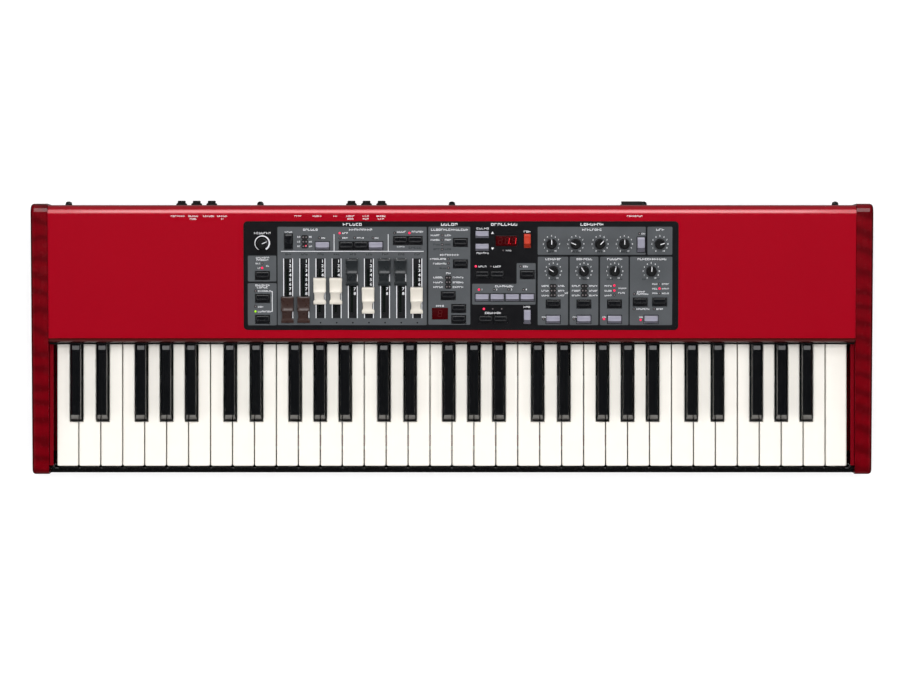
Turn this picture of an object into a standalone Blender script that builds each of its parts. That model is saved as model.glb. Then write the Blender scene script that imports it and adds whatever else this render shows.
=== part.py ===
"""Compact 61-key stage keyboard with wooden cheeks, a sloped control panel and sliding drawbars.

Every length below is in millimetres and is scaled to metres where the meshes are made.
X runs from the lowest key to the highest, Y runs from the player to the rear sockets and Z is up.
The origin lies under the middle of the whole instrument, on the surface that its feet stand on.
"""
import math

import bmesh
import bpy
from mathutils import Matrix, Vector

MM = 0.001
# Greatest distance, in metres, of a corner from its face's plane
FLAT_LIMIT = 0.000001

# General clearances
SEAT_GAP = 0.3
# How far a cutting shape passes beyond what it cuts
CUT_MARGIN = 2.0
SMOOTH_ANGLE = 35
BUTTON_GAP = 0.4

# Whole instrument
BODY_FRONT_Y = -147.5
CHEEK_REAR_Y = 142.2
JACK_TIP_Y = 146.9
FOOT_HEIGHT = 7.0
FOOT_RADIUS = 11.0
FOOT_EDGE = 1.0
FOOT_INSET = 31.7
FOOT_FRONT_Y = -118.0
FOOT_REAR_Y = 112.0

# Wooden cheeks, each set off from the end key by a strip of the case
CHEEK_THICKNESS = 18.0
KEY_END_MARGIN = 7.7
CHEEK_CROWN_Z = 98.0
CHEEK_REAR_RADIUS = 10.0
CHEEK_CORNER_RADIUS = 5.0
CHEEK_EDGE_RADIUS = 4.0
CHEEK_UNDERCUT = 2.5

# Sheet metal
PANEL_SLOPE = math.radians(5.0)
PANEL_BELOW_CHEEK = 1.4
PANEL_SHEET = 2.0
PANEL_REAR_Y = 140.7
PANEL_FRONT_Y = -6.1
PANEL_REAR_BEND = 10.0
PANEL_FRONT_BEND = 5.0
PANEL_LIP_Z = 79.4
PAN_SHEET = 1.5
PAN_FRONT_Y = -138.0
PAN_FLANGE_TOP_Z = 67.0
PAN_FLANGE_WIDTH = 4.0

# Keys
OCTAVES = 5
OCTAVE_WIDTH = 165.0
WHITE_PITCH = OCTAVE_WIDTH / 7
KEY_SIDE_GAP = 0.6
WHITE_TOP_Z = 66.0
BLACK_TOP_Z = 78.0
KEY_FRONT_Y = -138.7
KEY_REAR_Y = 61.0
KEY_WALL = 2.2
KEY_ROOF = 2.5
KEY_EDGE = 0.9
KEY_CORNER_RADIUS = 1.6
KEY_HOLLOW_RADIUS = 0.4
KEY_FRONT_SKIRT = 20.0
KEY_MIDDLE_Y = -20.0
KEY_MIDDLE_SKIRT = 14.0
TONGUE_START_Y = 42.0
BLACK_FRONT_Y = -90.0
BLACK_FRONT_SLOPE = 6.5
BLACK_BASE_WIDTH = 11.8
BLACK_TOP_WIDTH = 9.9
BLACK_HEAD_END_Y = 6.0
BLACK_HEAD_STEP = 3.0
BLACK_SIDE_GAP = 1.35
KEY_TRAVEL_DEGREES = 2.9

# Hinge bars that carry the keys of each comb, one above the other
BAR_FRONT_Y = 61.9
BAR_REAR_Y = 67.0
BAR_THICKNESS = 1.7
BAR_SPACING = 2.6
BAR_TAB_WIDTH = 7.0
BAR_TAB_REACH = 2.1
BAR_END_GAP = 1.5

# Key bed
PIVOT_Y = 58.0
PIVOT_Z = 56.0
PIVOT_ROD_RADIUS = 2.0
PIVOT_ROD_REACH = 1.4
BED_SHEET = 2.0
BED_END_GAP = 1.7
BED_UPRIGHT_GAP = 2.0
BED_SHELF_MARGIN = 1.0
BED_RAIL_MARGIN = 3.0
BED_HOOD_REACH = 8.0
STOP_FELT_Y = -112.0
STOP_FELT_WIDTH = 12.0
STOP_FELT_THICKNESS = 2.6
CONTACT_SHELF_FRONT_Y = -46.0
CONTACT_SHELF_REAR_Y = 24.0
CONTACT_SHELF_Z = 38.0
BOARD_THICKNESS = 1.6
CONTACT_BOARD_MARGIN = 4.0
CONTACT_STRIP_BASE = 2.0
CONTACT_STRIP_Y = -10.0
CONTACT_STRIP_WIDTH = 16.0
SPRING_THICKNESS = 0.4
SPRING_WIDTH = 6.0
SPRING_FRONT_Y = 30.0
SPRING_STRIP_Y = (51.0, 55.2)

# Front slip
SLIP_FRONT_Y = -146.0
SLIP_THICKNESS = 5.5
SLIP_TOP_Z = 56.0
SLIP_FOOT_REAR_Y = -123.5
SLIP_FOOT_THICKNESS = 2.0
SLIP_EDGE = 1.0

# Control fascia, set in a recess of the top panel
FASCIA_LEFT_X = -222.0
FASCIA_V = (8.0, 123.0)
FASCIA_CORNER = 4.0
FASCIA_FLANGE = 0.7
FASCIA_DEPTH = 2.7
FASCIA_LEDGE = 4.0
RECESS_DEPTH = FASCIA_FLANGE + SEAT_GAP

# Circuit board under the fascia
CONTROL_BOARD_TOP = -6.4
CONTROL_BOARD_MARGIN = 7.0
BOARD_POST_SIZE = 5.0
BOARD_POST_INSET = 10.7
DISPLAY_SINK = 0.2
FUSE_DEPTH = 0.5

# Knobs
KNOB_RADIUS = 5.7
KNOB_TOP_RADIUS = 5.0
KNOB_HEIGHT = 12.6
KNOB_EDGE = 0.7
KNOB_SHAFT_RADIUS = 3.0
KNOB_HOLE_RADIUS = 3.6
KNOB_LIFT = 0.6
KNOB_SIDES = 16
HOLE_SIDES = 12

# Drawbars
DRAWBAR_COUNT = 9
DRAWBAR_FIRST_X = -175.0
DRAWBAR_PITCH = 17.25
DRAWBAR_STEP = 5.0
DRAWBAR_STEPS = 8
DRAWBAR_HOME_V = 69.1
DRAWBAR_REGISTRATION = (8, 8, 4, 4, 0, 6, 0, 0, 6)
DRAWBAR_LIFT = 0.6
DRAWBAR_WIDTH = 13.6
DRAWBAR_LENGTH = 28.8
DRAWBAR_STEM_OFFSET = -1.0
DRAWBAR_STEM_WIDTH = 1.6
DRAWBAR_STEM_LENGTH = 6.0
DRAWBAR_SLIT_GAP = 0.4
DRAWBAR_EDGE = 0.9
# Each station's place as a share of the half length, half width as a share, and height of the top
DRAWBAR_STATIONS = [(-1.0, 1.0, 2.6), (-0.71, 0.99, 3.6), (-0.625, 0.8, 4.2), (-0.236, 0.82, 6.4),
                    (-0.042, 0.94, 8.2), (0.055, 0.96, 7.4), (0.778, 0.99, 8.6), (0.889, 1.0, 9.6),
                    (1.0, 0.93, 8.2)]
DRAWBAR_COLOURS = ("brown", "brown", "cream", "cream", "black", "cream", "black", "black", "cream")

# Buttons: cap width along X and cap depth along the slope
BUTTON_RISE = 2.2
BUTTON_EDGE = 0.7
BUTTON_CORNER = 1.0
BUTTON_TRAVEL = 0.6
CARRIER_THICKNESS = 1.4
CARRIER_WIDTH = 3.2
WIDE = (14.0, 7.8)
WIDE_PITCH = WIDE[0] + 1.8
SMALL = (13.6, 7.0)
SMALL_PITCH = SMALL[0] + 2.5
TALL = (7.6, 15.4)
STORE = (6.8, 14.6)

# Columns and rows of the control layout, as X and as distance up the slope
LEFT_COLUMN = -202.5
CHORUS_COLUMN = -174.5
SPLIT_COLUMN = -138.4
PERCUSSION_COLUMN = -113.0
PRESET_COLUMN = -55.0
PIANO_COLUMN = 9.0
MODEL_COLUMN = 7.2
MODEL_OFFSET = -11.2
PROGRAM_COLUMN = 32.2
OCTAVE_OFFSET = 3.8
STORE_COLUMN = PROGRAM_COLUMN + 3 * SMALL_PITCH
EFFECT_COLUMN = 108.2
EFFECT_PITCH = 32.8
DELAY_REACH = 37.8
DELAY_OFFSET = 1.3
DELAY_PITCH = WIDE[0] + 6.8
EQUALISER_PITCH = 25.95
EQUALISER_X = [EFFECT_COLUMN - 2.0 + knob * EQUALISER_PITCH for knob in range(4)]
EQUALISER_ON_REACH = 17.95
BOTTOM_ROW = 18.5
MODEL_ROW = 30.2
EFFECT_ROW = 35.0
DELAY_ROW = 37.2
TRANSPOSE_ROW = 41.0
PROGRAM_ROW = 42.0
TYPE_ROW = 44.0
SPLIT_ROW = 65.5
SELECT_ROW = 66.5
EFFECT_KNOB_ROW = 70.4
ACOUSTICS_ROW = 78.0
BANK_ROW = 96.0
TOP_ROW = 97.5
EQUALISER_ROW = 99.4
SAMPLE_ROW = 101.0
CHORUS_ROW = 102.0
STORE_ROW = 102.7
PRESET_ROW = 103.0
PAGE_ROW = 109.6
SHIFT_ROW = 21.3
DELAY_COLUMN = EFFECT_COLUMN + 2 * EFFECT_PITCH + DELAY_REACH
FASCIA_X = (FASCIA_LEFT_X, DELAY_COLUMN + 29.1)


def row(count, first_x, v, size, pitch):
    """Caps side by side, each a centre X, a centre up the slope and a size."""
    return [(first_x + index * pitch, v, size) for index in range(count)]


# Caps of each group, in the order in which one carrier under the fascia joins them
BUTTON_GROUPS = {
    "left_buttons": [(LEFT_COLUMN, SPLIT_ROW, WIDE), (LEFT_COLUMN, TRANSPOSE_ROW, WIDE),
                     (LEFT_COLUMN, BOTTOM_ROW, WIDE)],
    "organ_buttons": [(CHORUS_COLUMN, CHORUS_ROW, TALL), (SPLIT_COLUMN, TOP_ROW, WIDE)]
    + row(3, PERCUSSION_COLUMN, TOP_ROW, WIDE, WIDE_PITCH)
    + row(2, PRESET_COLUMN, PRESET_ROW, WIDE, WIDE_PITCH),
    "piano_buttons": [(PIANO_COLUMN, SAMPLE_ROW, WIDE), (PIANO_COLUMN, ACOUSTICS_ROW, WIDE),
                      (MODEL_COLUMN + MODEL_OFFSET, TYPE_ROW, WIDE), (MODEL_COLUMN, MODEL_ROW, WIDE),
                      (MODEL_COLUMN, BOTTOM_ROW, WIDE)],
    "select_buttons": [(PROGRAM_COLUMN, PAGE_ROW, SMALL), (PROGRAM_COLUMN, BANK_ROW, SMALL)]
    + row(2, PROGRAM_COLUMN, SELECT_ROW, SMALL, SMALL_PITCH) + [(STORE_COLUMN, SELECT_ROW, WIDE)],
    "program_buttons": row(4, PROGRAM_COLUMN, PROGRAM_ROW, SMALL, SMALL_PITCH)
    + [(STORE_COLUMN, SHIFT_ROW, STORE)]
    + row(2, PROGRAM_COLUMN + OCTAVE_OFFSET, BOTTOM_ROW, SMALL, SMALL_PITCH)[::-1],
    "store_button": [(STORE_COLUMN, STORE_ROW, STORE)],
    "effect_buttons": row(3, EFFECT_COLUMN, EFFECT_ROW, WIDE, EFFECT_PITCH)
    + row(2, DELAY_COLUMN - DELAY_PITCH / 2, DELAY_ROW, WIDE, DELAY_PITCH),
    "effect_on_buttons": row(3, EFFECT_COLUMN, BOTTOM_ROW, WIDE, EFFECT_PITCH)
    + [(DELAY_COLUMN + DELAY_OFFSET, BOTTOM_ROW, WIDE)],
    "equaliser_on_button": [(EQUALISER_X[-1] + EQUALISER_ON_REACH, EQUALISER_ROW - 0.8, TALL)],
}
KNOBS = {
    "master_level_knob": (LEFT_COLUMN, 100.2),
    "treble_knob": (EQUALISER_X[0], EQUALISER_ROW),
    "mid_knob": (EQUALISER_X[1], EQUALISER_ROW),
    "mid_frequency_knob": (EQUALISER_X[2], EQUALISER_ROW),
    "bass_knob": (EQUALISER_X[3], EQUALISER_ROW),
    "gain_knob": (DELAY_COLUMN + DELAY_PITCH / 2, EQUALISER_ROW),
    "effect_one_knob": (EFFECT_COLUMN, EFFECT_KNOB_ROW),
    "effect_two_knob": (EFFECT_COLUMN + EFFECT_PITCH, EFFECT_KNOB_ROW),
    "compressor_knob": (EFFECT_COLUMN + 2 * EFFECT_PITCH, EFFECT_KNOB_ROW),
    "delay_knob": (DELAY_COLUMN + DELAY_OFFSET, EFFECT_KNOB_ROW),
}
# Display windows: centre X, centre up the slope, width, depth
DISPLAYS = [(58.0, STORE_ROW, 22.5, 10.7), (-12.8, 24.8, 16.8, 12.2)]

# Rear sockets
SOCKET_Z = 35.0
JACK_X = [-292.0, -275.8, -259.5, -108.6, -92.3, -76.0]
JACK_BORE_RADIUS = 3.4
JACK_BUSH_RADIUS = 4.3
JACK_NUT_RADIUS = 6.0
JACK_NUT_LENGTH = 3.7
JACK_NUT_CHAMFER = 1.2
JACK_BODY_RADIUS = 6.6
JACK_BODY_LENGTH = 24.0
JACK_BORE_DEPTH = 26.0
JACK_WALL_GAP = 0.4
MINI_JACK_X = -244.5
MINI_JACK_RADIUS = 3.0
MINI_JACK_BORE_RADIUS = 1.8
MINI_JACK_BODY_RADIUS = 5.8
MINI_JACK_LENGTH = 14.0
MINI_JACK_BORE_DEPTH = 12.0
ROUND_SOCKET_X = [-164.4, -143.8]
ROUND_SOCKET_RADIUS = 7.6
ROUND_SOCKET_WALL = 1.0
ROUND_SOCKET_DEPTH = 9.0
SQUARE_SOCKET_X = -124.7
SQUARE_SOCKET_SIZE = (12.0, 11.0)
SQUARE_SOCKET_WALL = 1.4
SOCKET_BODY_LENGTH = 14.0
SOCKET_PROUD = 0.5

# Mains fittings
SWITCH_X = 194.2
SWITCH_SIZE = (25.4, 16.0)
SWITCH_WALL = 1.2
SWITCH_EDGE = 0.5
SWITCH_PROUD = 2.0
SWITCH_WELL_DEPTH = 12.0
ROCKER_GAP = 0.35
ROCKER_REACH = 5.2
ROCKER_HEEL = 4.0
ROCKER_PIVOT_DEPTH = 2.0
ROCKER_TILT = math.radians(7.0)
INLET_X = 252.0
INLET_SIZE = (27.0, 20.0)
INLET_CAVITY = (24.0, 16.4)
INLET_CHAMFER = 4.0
INLET_EDGE = 0.6
INLET_CAVITY_DEPTH = 16.0
MAINS_BLOCK_LENGTH = 24.0

# Domed screws of the rear wall
REAR_SCREW_INSET = 21.1
REAR_SCREW_Z = 75.0
REAR_SCREW_RADIUS = 3.7
REAR_SCREW_HEIGHT = 4.2
# Steps of the domed head as shares of its radius and height
REAR_SCREW_DOME = [(1.0, 0.35), (0.8, 0.8), (0.35, 1.0)]

# Board that carries the sockets
SOCKET_BOARD_X = (-304.0, -60.0)
SOCKET_BOARD_FRONT_Y = 84.0
SOCKET_SINK = 0.4
SOCKET_POST_SIZE = 6.0
SOCKET_POST_MARGIN = 1.0

# Values that follow from the sizes above
WHITE_COUNT = OCTAVES * 7 + 1
FIRST_KEY_X = -WHITE_COUNT * WHITE_PITCH / 2
CHEEK_INNER_X = KEY_END_MARGIN - FIRST_KEY_X
CHEEK_OUTER_X = CHEEK_INNER_X + CHEEK_THICKNESS
BODY_HALF_WIDTH = CHEEK_INNER_X - SEAT_GAP
BED_HALF_LENGTH = BODY_HALF_WIDTH - PAN_FLANGE_WIDTH - BED_END_GAP
FOOT_X = BODY_HALF_WIDTH - FOOT_INSET
REAR_SCREW_PITCH = (BODY_HALF_WIDTH - REAR_SCREW_INSET) / 2
BODY_BOTTOM_Z = FOOT_HEIGHT
PAN_FLOOR_Z = BODY_BOTTOM_Z + PAN_SHEET
FLOOR_SEAT_Z = PAN_FLOOR_Z + SEAT_GAP
TAN_SLOPE = math.tan(PANEL_SLOPE)
COS_SLOPE = math.cos(PANEL_SLOPE)
CROWN_CENTRE_Y = CHEEK_REAR_Y - CHEEK_REAR_RADIUS
CHEEK_LINE_Z = (CHEEK_CROWN_Z - CHEEK_REAR_RADIUS + CHEEK_REAR_RADIUS / COS_SLOPE
                - CROWN_CENTRE_Y * TAN_SLOPE)
PANEL_LINE_Z = CHEEK_LINE_Z - PANEL_BELOW_CHEEK
WALL_OUTER_Y = PANEL_REAR_Y
WALL_INNER_Y = PANEL_REAR_Y - PANEL_SHEET
NOTCH_HALF_WIDTH = BLACK_BASE_WIDTH / 2 + BLACK_SIDE_GAP
NOTCH_Y = BLACK_FRONT_Y - BLACK_SIDE_GAP
TONGUE_BOTTOM_Z = PIVOT_Z + PIVOT_ROD_RADIUS + SEAT_GAP
PIVOT_SHELF_Z = PIVOT_Z - PIVOT_ROD_REACH
KEY_TRAVEL = math.radians(KEY_TRAVEL_DEGREES)

# Colour, roughness and metallic of each material
LOOKS = {
    "lacquer": ((0.16, 0.004, 0.008), 0.25),
    "pan_paint": ((0.32, 0.003, 0.012), 0.35, 0.3),
    "panel_paint": ((0.42, 0.004, 0.018), 0.3, 0.2),
    "slip_paint": ((0.005, 0.005, 0.006), 0.35),
    "white_key": ((0.9, 0.87, 0.8), 0.25),
    "black_key": ((0.006, 0.006, 0.007), 0.3),
    "steel": ((0.35, 0.36, 0.38), 0.4, 0.9),
    "spring": ((0.6, 0.6, 0.62), 0.25, 1.0),
    "felt": ((0.25, 0.01, 0.02), 0.95),
    "rubber": ((0.04, 0.04, 0.045), 0.9),
    "board": ((0.01, 0.12, 0.04), 0.5),
    "film": ((0.012, 0.012, 0.014), 0.45),
    "knob": ((0.008, 0.009, 0.009), 0.45),
    "drawbar_brown": ((0.035, 0.018, 0.014), 0.35),
    "drawbar_cream": ((0.85, 0.8, 0.68), 0.35),
    "drawbar_black": ((0.015, 0.017, 0.018), 0.35),
    "cap_black": ((0.006, 0.006, 0.007), 0.4),
    "cap_grey": ((0.45, 0.43, 0.52), 0.4),
    "cap_red": ((0.7, 0.05, 0.015), 0.4),
    "socket": ((0.01, 0.012, 0.011), 0.4),
}

WHITE_NOTES = "CDEFGAB"
# Natural notes of the two white combs of an octave, so that neighbours always differ
WHITE_COMBS = ("CEGB", "DFA")
# Sideways shift of each black key from the joint between its two white keys
BLACK_SHIFT = {"C": -2.25, "D": 2.25, "F": -3.3, "G": 0.0, "A": 3.3}


class Shape:
    """Collects closed shells, in millimetres, for one object."""

    def __init__(self):
        self.points = []
        self.faces = []

    def rings(self, rings, ladder=False):
        """Bridge rings of equal length and close the ends, the last one rung by rung if asked."""
        count = len(rings[0])
        start = len(self.points)
        for ring in rings:
            self.points.extend(Vector(point) for point in ring)
        for level in range(len(rings) - 1):
            low = start + level * count
            high = low + count
            for index in range(count):
                following = (index + 1) % count
                self.faces.append((low + index, low + following, high + following, high + index))
        self.faces.append(tuple(reversed(range(start, start + count))))
        last = start + (len(rings) - 1) * count
        if ladder:
            for index in range(count // 2 - 1):
                far = last + count - 1 - index
                self.faces.append((last + index, last + index + 1, far - 1, far))
        else:
            self.faces.append(tuple(range(last, last + count)))

    def prism(self, outline, low, high):
        """Extrude a plan outline from one height to another."""
        self.rings([[(x, y, low) for x, y in outline], [(x, y, high) for x, y in outline]])

    def beam(self, outline, half_length, middle=0.0):
        """Extrude a side outline, given as (Y, Z), along X."""
        self.rings([[(middle - half_length, y, z) for y, z in outline],
                    [(middle + half_length, y, z) for y, z in outline]])

    def box(self, x_range, y_range, z_range):
        outline = [(x_range[0], y_range[0]), (x_range[1], y_range[0]),
                   (x_range[1], y_range[1]), (x_range[0], y_range[1])]
        self.prism(outline, z_range[0], z_range[1])

    def turned(self, profile, sides, place):
        """Turn (radius, height) steps about the local Z axis and move them with a matrix."""
        rings = []
        for radius, height in profile:
            ring = []
            for index in range(sides):
                angle = 2 * math.pi * (index + 0.5) / sides
                ring.append(place @ Vector((radius * math.cos(angle), radius * math.sin(angle), height)))
            rings.append(ring)
        self.rings(rings)


def material(name, colour, roughness, metallic=0.0):
    """Make the Principled material of one object."""
    made = bpy.data.materials.new(name)
    made.use_nodes = True
    shader = made.node_tree.nodes["Principled BSDF"]
    shader.inputs["Base Color"].default_value = (*colour, 1.0)
    shader.inputs["Roughness"].default_value = roughness
    shader.inputs["Metallic"].default_value = metallic
    return made


def add_object(name, shape, look, origin=(0.0, 0.0, 0.0), parent=None, smooth=None):
    """Turn a shape into an object whose origin lies at the given point of its parent's frame."""
    base = Vector(origin)
    mesh = bpy.data.meshes.new(name)
    mesh.from_pydata([(point - base) * MM for point in shape.points], [], shape.faces)
    made = bpy.data.objects.new(name, mesh)
    bpy.context.collection.objects.link(made)
    made.location = base * MM
    made.parent = parent
    bpy.context.view_layer.objects.active = made
    clean_normals(mesh)
    if look is not None:
        mesh.materials.append(material(name, *look))
    if smooth is not None:
        mesh.shade_smooth()
        mesh.set_sharp_from_angle(angle=math.radians(smooth))
    return made


def clean_normals(mesh):
    """Split the faces that aren't flat and point every face outward."""
    work = bmesh.new()
    work.from_mesh(mesh)
    bent = []
    for face in work.faces:
        face.normal_update()
        middle = face.calc_center_median()
        if max(abs((corner.co - middle).dot(face.normal)) for corner in face.verts) > FLAT_LIMIT:
            bent.append(face)
    bmesh.ops.triangulate(work, faces=bent)
    bmesh.ops.recalc_face_normals(work, faces=work.faces)
    work.to_mesh(mesh)
    work.free()


def combine(name, shape, target, operation, parent=None):
    """Join a shape to a target, or cut it out, with a live Boolean."""
    helper = add_object(name, shape, None, parent=parent)
    helper.hide_render = True
    helper.display_type = "WIRE"
    change = target.modifiers.new(name, "BOOLEAN")
    change.operation = operation
    change.solver = "EXACT"
    change.object = helper


def rounded(points, radii, steps=3):
    """Round the corners of a closed outline with arcs."""
    outline = []
    count = len(points)
    for index in range(count):
        corner = Vector(points[index])
        radius = radii[index]
        if radius <= 0:
            outline.append(tuple(corner))
            continue
        before = (Vector(points[index - 1]) - corner).normalized()
        after = (Vector(points[(index + 1) % count]) - corner).normalized()
        half = before.angle(after) / 2
        reach = radius / math.tan(half)
        middle = corner + (before + after).normalized() * radius / math.sin(half)
        start = corner + before * reach - middle
        sweep = start.angle_signed(corner + after * reach - middle)
        for step in range(steps + 1):
            turned = Matrix.Rotation(-sweep * step / steps, 2) @ start
            outline.append(tuple(middle + turned))
    return outline


def inset(outline, distance):
    """Move each side of an anticlockwise outline inward by the same distance."""
    moved = []
    count = len(outline)
    for index in range(count):
        here = Vector(outline[index])
        before = (here - Vector(outline[index - 1])).normalized()
        after = (Vector(outline[(index + 1) % count]) - here).normalized()
        normal_before = Vector((-before.y, before.x))
        normal_after = Vector((-after.y, after.x))
        middle = normal_before + normal_after
        middle = middle / middle.length_squared * 2
        moved.append(tuple(here + middle * distance))
    return moved


def folded_sheet(path, thickness):
    """Give an open path of (Y, Z) or (X, Z) points a thickness, half to each side."""
    sides = ([], [])
    for index in range(len(path)):
        here = Vector(path[index])
        if index > 0:
            before = (here - Vector(path[index - 1])).normalized()
        if index < len(path) - 1:
            after = (Vector(path[index + 1]) - here).normalized()
        if index == 0:
            before = after
        if index == len(path) - 1:
            after = before
        middle = Vector((-before.y - after.y, before.x + after.x))
        middle = middle / middle.length_squared * thickness
        sides[0].append(tuple(here + middle))
        sides[1].append(tuple(here - middle))
    return sides[0] + sides[1][::-1]


def rectangle(x, y, width, depth):
    return [(x - width / 2, y - depth / 2), (x + width / 2, y - depth / 2),
            (x + width / 2, y + depth / 2), (x - width / 2, y + depth / 2)]


def soft_rectangle(x, y, width, depth, radius, steps=1):
    return rounded(rectangle(x, y, width, depth), [radius] * 4, steps)


def along_y(x, y, z):
    """A frame at a point, with its local Z axis along world Y."""
    return Matrix.Translation((x, y, z)) @ Matrix.Rotation(-math.pi / 2, 4, "X")


def clear_scene():
    for old in list(bpy.data.objects):
        bpy.data.objects.remove(old, do_unlink=True)


def panel_frame():
    """Empty that carries everything on the sloped panel: X along it, Y up the slope, Z off it."""
    empty = bpy.data.objects.new("panel_plane", None)
    bpy.context.collection.objects.link(empty)
    empty.location = (0.0, 0.0, PANEL_LINE_Z * MM)
    empty.rotation_euler = (PANEL_SLOPE, 0.0, 0.0)
    return empty


# Case

def build_cheeks():
    front_top_z = CHEEK_LINE_Z + BODY_FRONT_Y * TAN_SLOPE
    rear_top_z = CHEEK_LINE_Z + CHEEK_REAR_Y * TAN_SLOPE
    corners = [(BODY_FRONT_Y + CHEEK_UNDERCUT, BODY_BOTTOM_Z), (CHEEK_REAR_Y, BODY_BOTTOM_Z),
               (CHEEK_REAR_Y, rear_top_z), (BODY_FRONT_Y, front_top_z)]
    radii = [CHEEK_CORNER_RADIUS, CHEEK_CORNER_RADIUS, CHEEK_REAR_RADIUS, CHEEK_CORNER_RADIUS]
    outline = rounded(corners, radii, 4)
    layers = [(CHEEK_INNER_X, 0.0)]
    edge_steps = 3
    for step in range(edge_steps + 1):
        angle = math.pi / 2 * step / edge_steps
        layers.append((CHEEK_OUTER_X - CHEEK_EDGE_RADIUS * (1 - math.sin(angle)),
                       CHEEK_EDGE_RADIUS * (1 - math.cos(angle))))
    for name, side in (("left_cheek", -1), ("right_cheek", 1)):
        shape = Shape()
        shape.rings([[(side * x, y, z) for y, z in inset(outline, depth)] for x, depth in layers])
        add_object(name, shape, LOOKS["lacquer"], smooth=SMOOTH_ANGLE)


def build_base_pan():
    """Folded pan with inward side flanges, and the four feet on its underside."""
    wall_x = BODY_HALF_WIDTH - PAN_SHEET / 2
    flange_z = PAN_FLANGE_TOP_Z - PAN_SHEET / 2
    floor_z = BODY_BOTTOM_Z + PAN_SHEET / 2
    flange_x = BODY_HALF_WIDTH - PAN_FLANGE_WIDTH
    path = [(-flange_x, flange_z), (-wall_x, flange_z), (-wall_x, floor_z),
            (wall_x, floor_z), (wall_x, flange_z), (flange_x, flange_z)]
    section = folded_sheet(path, PAN_SHEET)
    shape = Shape()
    shape.rings([[(x, PAN_FRONT_Y, z) for x, z in section],
                 [(x, WALL_INNER_Y - SEAT_GAP, z) for x, z in section]])
    pan = add_object("base_pan", shape, LOOKS["pan_paint"], smooth=SMOOTH_ANGLE)
    feet = Shape()
    for x in (-FOOT_X, FOOT_X):
        for y in (FOOT_FRONT_Y, FOOT_REAR_Y):
            profile = [(FOOT_RADIUS - FOOT_EDGE, 0.0), (FOOT_RADIUS, FOOT_EDGE),
                       (FOOT_RADIUS, FOOT_HEIGHT + FUSE_DEPTH)]
            feet.turned(profile, HOLE_SIDES, Matrix.Translation((x, y, 0.0)))
    combine("join_feet", feet, pan, "UNION")


def panel_section():
    """Side outline of the one-piece top panel: rear wall, rear bend, slope and front lip."""
    rear_top_z = PANEL_LINE_Z + PANEL_REAR_Y * TAN_SLOPE
    front_top_z = PANEL_LINE_Z + PANEL_FRONT_Y * TAN_SLOPE
    sheet_rise = PANEL_SHEET / COS_SLOPE
    inner_front_y = PANEL_FRONT_Y + PANEL_SHEET
    points = [(WALL_INNER_Y, BODY_BOTTOM_Z), (PANEL_REAR_Y, BODY_BOTTOM_Z), (PANEL_REAR_Y, rear_top_z),
              (PANEL_FRONT_Y, front_top_z), (PANEL_FRONT_Y, PANEL_LIP_Z), (inner_front_y, PANEL_LIP_Z),
              (inner_front_y, PANEL_LINE_Z + inner_front_y * TAN_SLOPE - sheet_rise),
              (WALL_INNER_Y, PANEL_LINE_Z + WALL_INNER_Y * TAN_SLOPE - sheet_rise)]
    radii = [0, 0, PANEL_REAR_BEND, PANEL_FRONT_BEND, 0, 0,
             PANEL_FRONT_BEND - PANEL_SHEET, PANEL_REAR_BEND - PANEL_SHEET]
    return rounded(points, radii, 4)


def build_top_panel(plane):
    shape = Shape()
    shape.beam(panel_section(), BODY_HALF_WIDTH)
    panel = add_object("top_panel", shape, LOOKS["panel_paint"], smooth=SMOOTH_ANGLE)
    combine("join_rear_screws", rear_screws(), panel, "UNION")

    middle_x = sum(FASCIA_X) / 2
    middle_v = sum(FASCIA_V) / 2
    width = FASCIA_X[1] - FASCIA_X[0]
    depth = FASCIA_V[1] - FASCIA_V[0]
    above = PANEL_SHEET + CUT_MARGIN
    recess = Shape()
    recess.prism(soft_rectangle(middle_x, middle_v, width + 2 * SEAT_GAP, depth + 2 * SEAT_GAP,
                                FASCIA_CORNER + SEAT_GAP, 3), -RECESS_DEPTH, above)
    combine("cut_fascia_recess", recess, panel, "DIFFERENCE", plane)
    window = Shape()
    window.prism(soft_rectangle(middle_x, middle_v, width - 2 * FASCIA_LEDGE,
                                depth - 2 * FASCIA_LEDGE, FASCIA_CORNER, 3), -above, above)
    combine("cut_fascia_window", window, panel, "DIFFERENCE", plane)
    combine("cut_rear_wall", rear_wall_holes(), panel, "DIFFERENCE")


def rear_wall_holes():
    """Holes for the jacks, sockets, switch and inlet, each its fitting's size plus a clearance."""
    shape = Shape()
    start = WALL_INNER_Y - CUT_MARGIN
    length = PANEL_SHEET + 2 * CUT_MARGIN
    for x in JACK_X:
        shape.turned([(JACK_BUSH_RADIUS + JACK_WALL_GAP, 0), (JACK_BUSH_RADIUS + JACK_WALL_GAP, length)],
                     10, along_y(x, start, SOCKET_Z))
    mini = MINI_JACK_RADIUS + JACK_WALL_GAP
    shape.turned([(mini, 0), (mini, length)], 8, along_y(MINI_JACK_X, start, SOCKET_Z))
    ring = ROUND_SOCKET_RADIUS + JACK_WALL_GAP
    for x in ROUND_SOCKET_X:
        shape.turned([(ring, 0), (ring, length)], 12, along_y(x, start, SOCKET_Z))
    for x, size in ((SQUARE_SOCKET_X, SQUARE_SOCKET_SIZE), (SWITCH_X, SWITCH_SIZE),
                    (INLET_X, INLET_SIZE)):
        half_x = size[0] / 2 + JACK_WALL_GAP
        half_z = size[1] / 2 + JACK_WALL_GAP
        shape.box((x - half_x, x + half_x), (start, start + length),
                  (SOCKET_Z - half_z, SOCKET_Z + half_z))
    return shape


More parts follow.
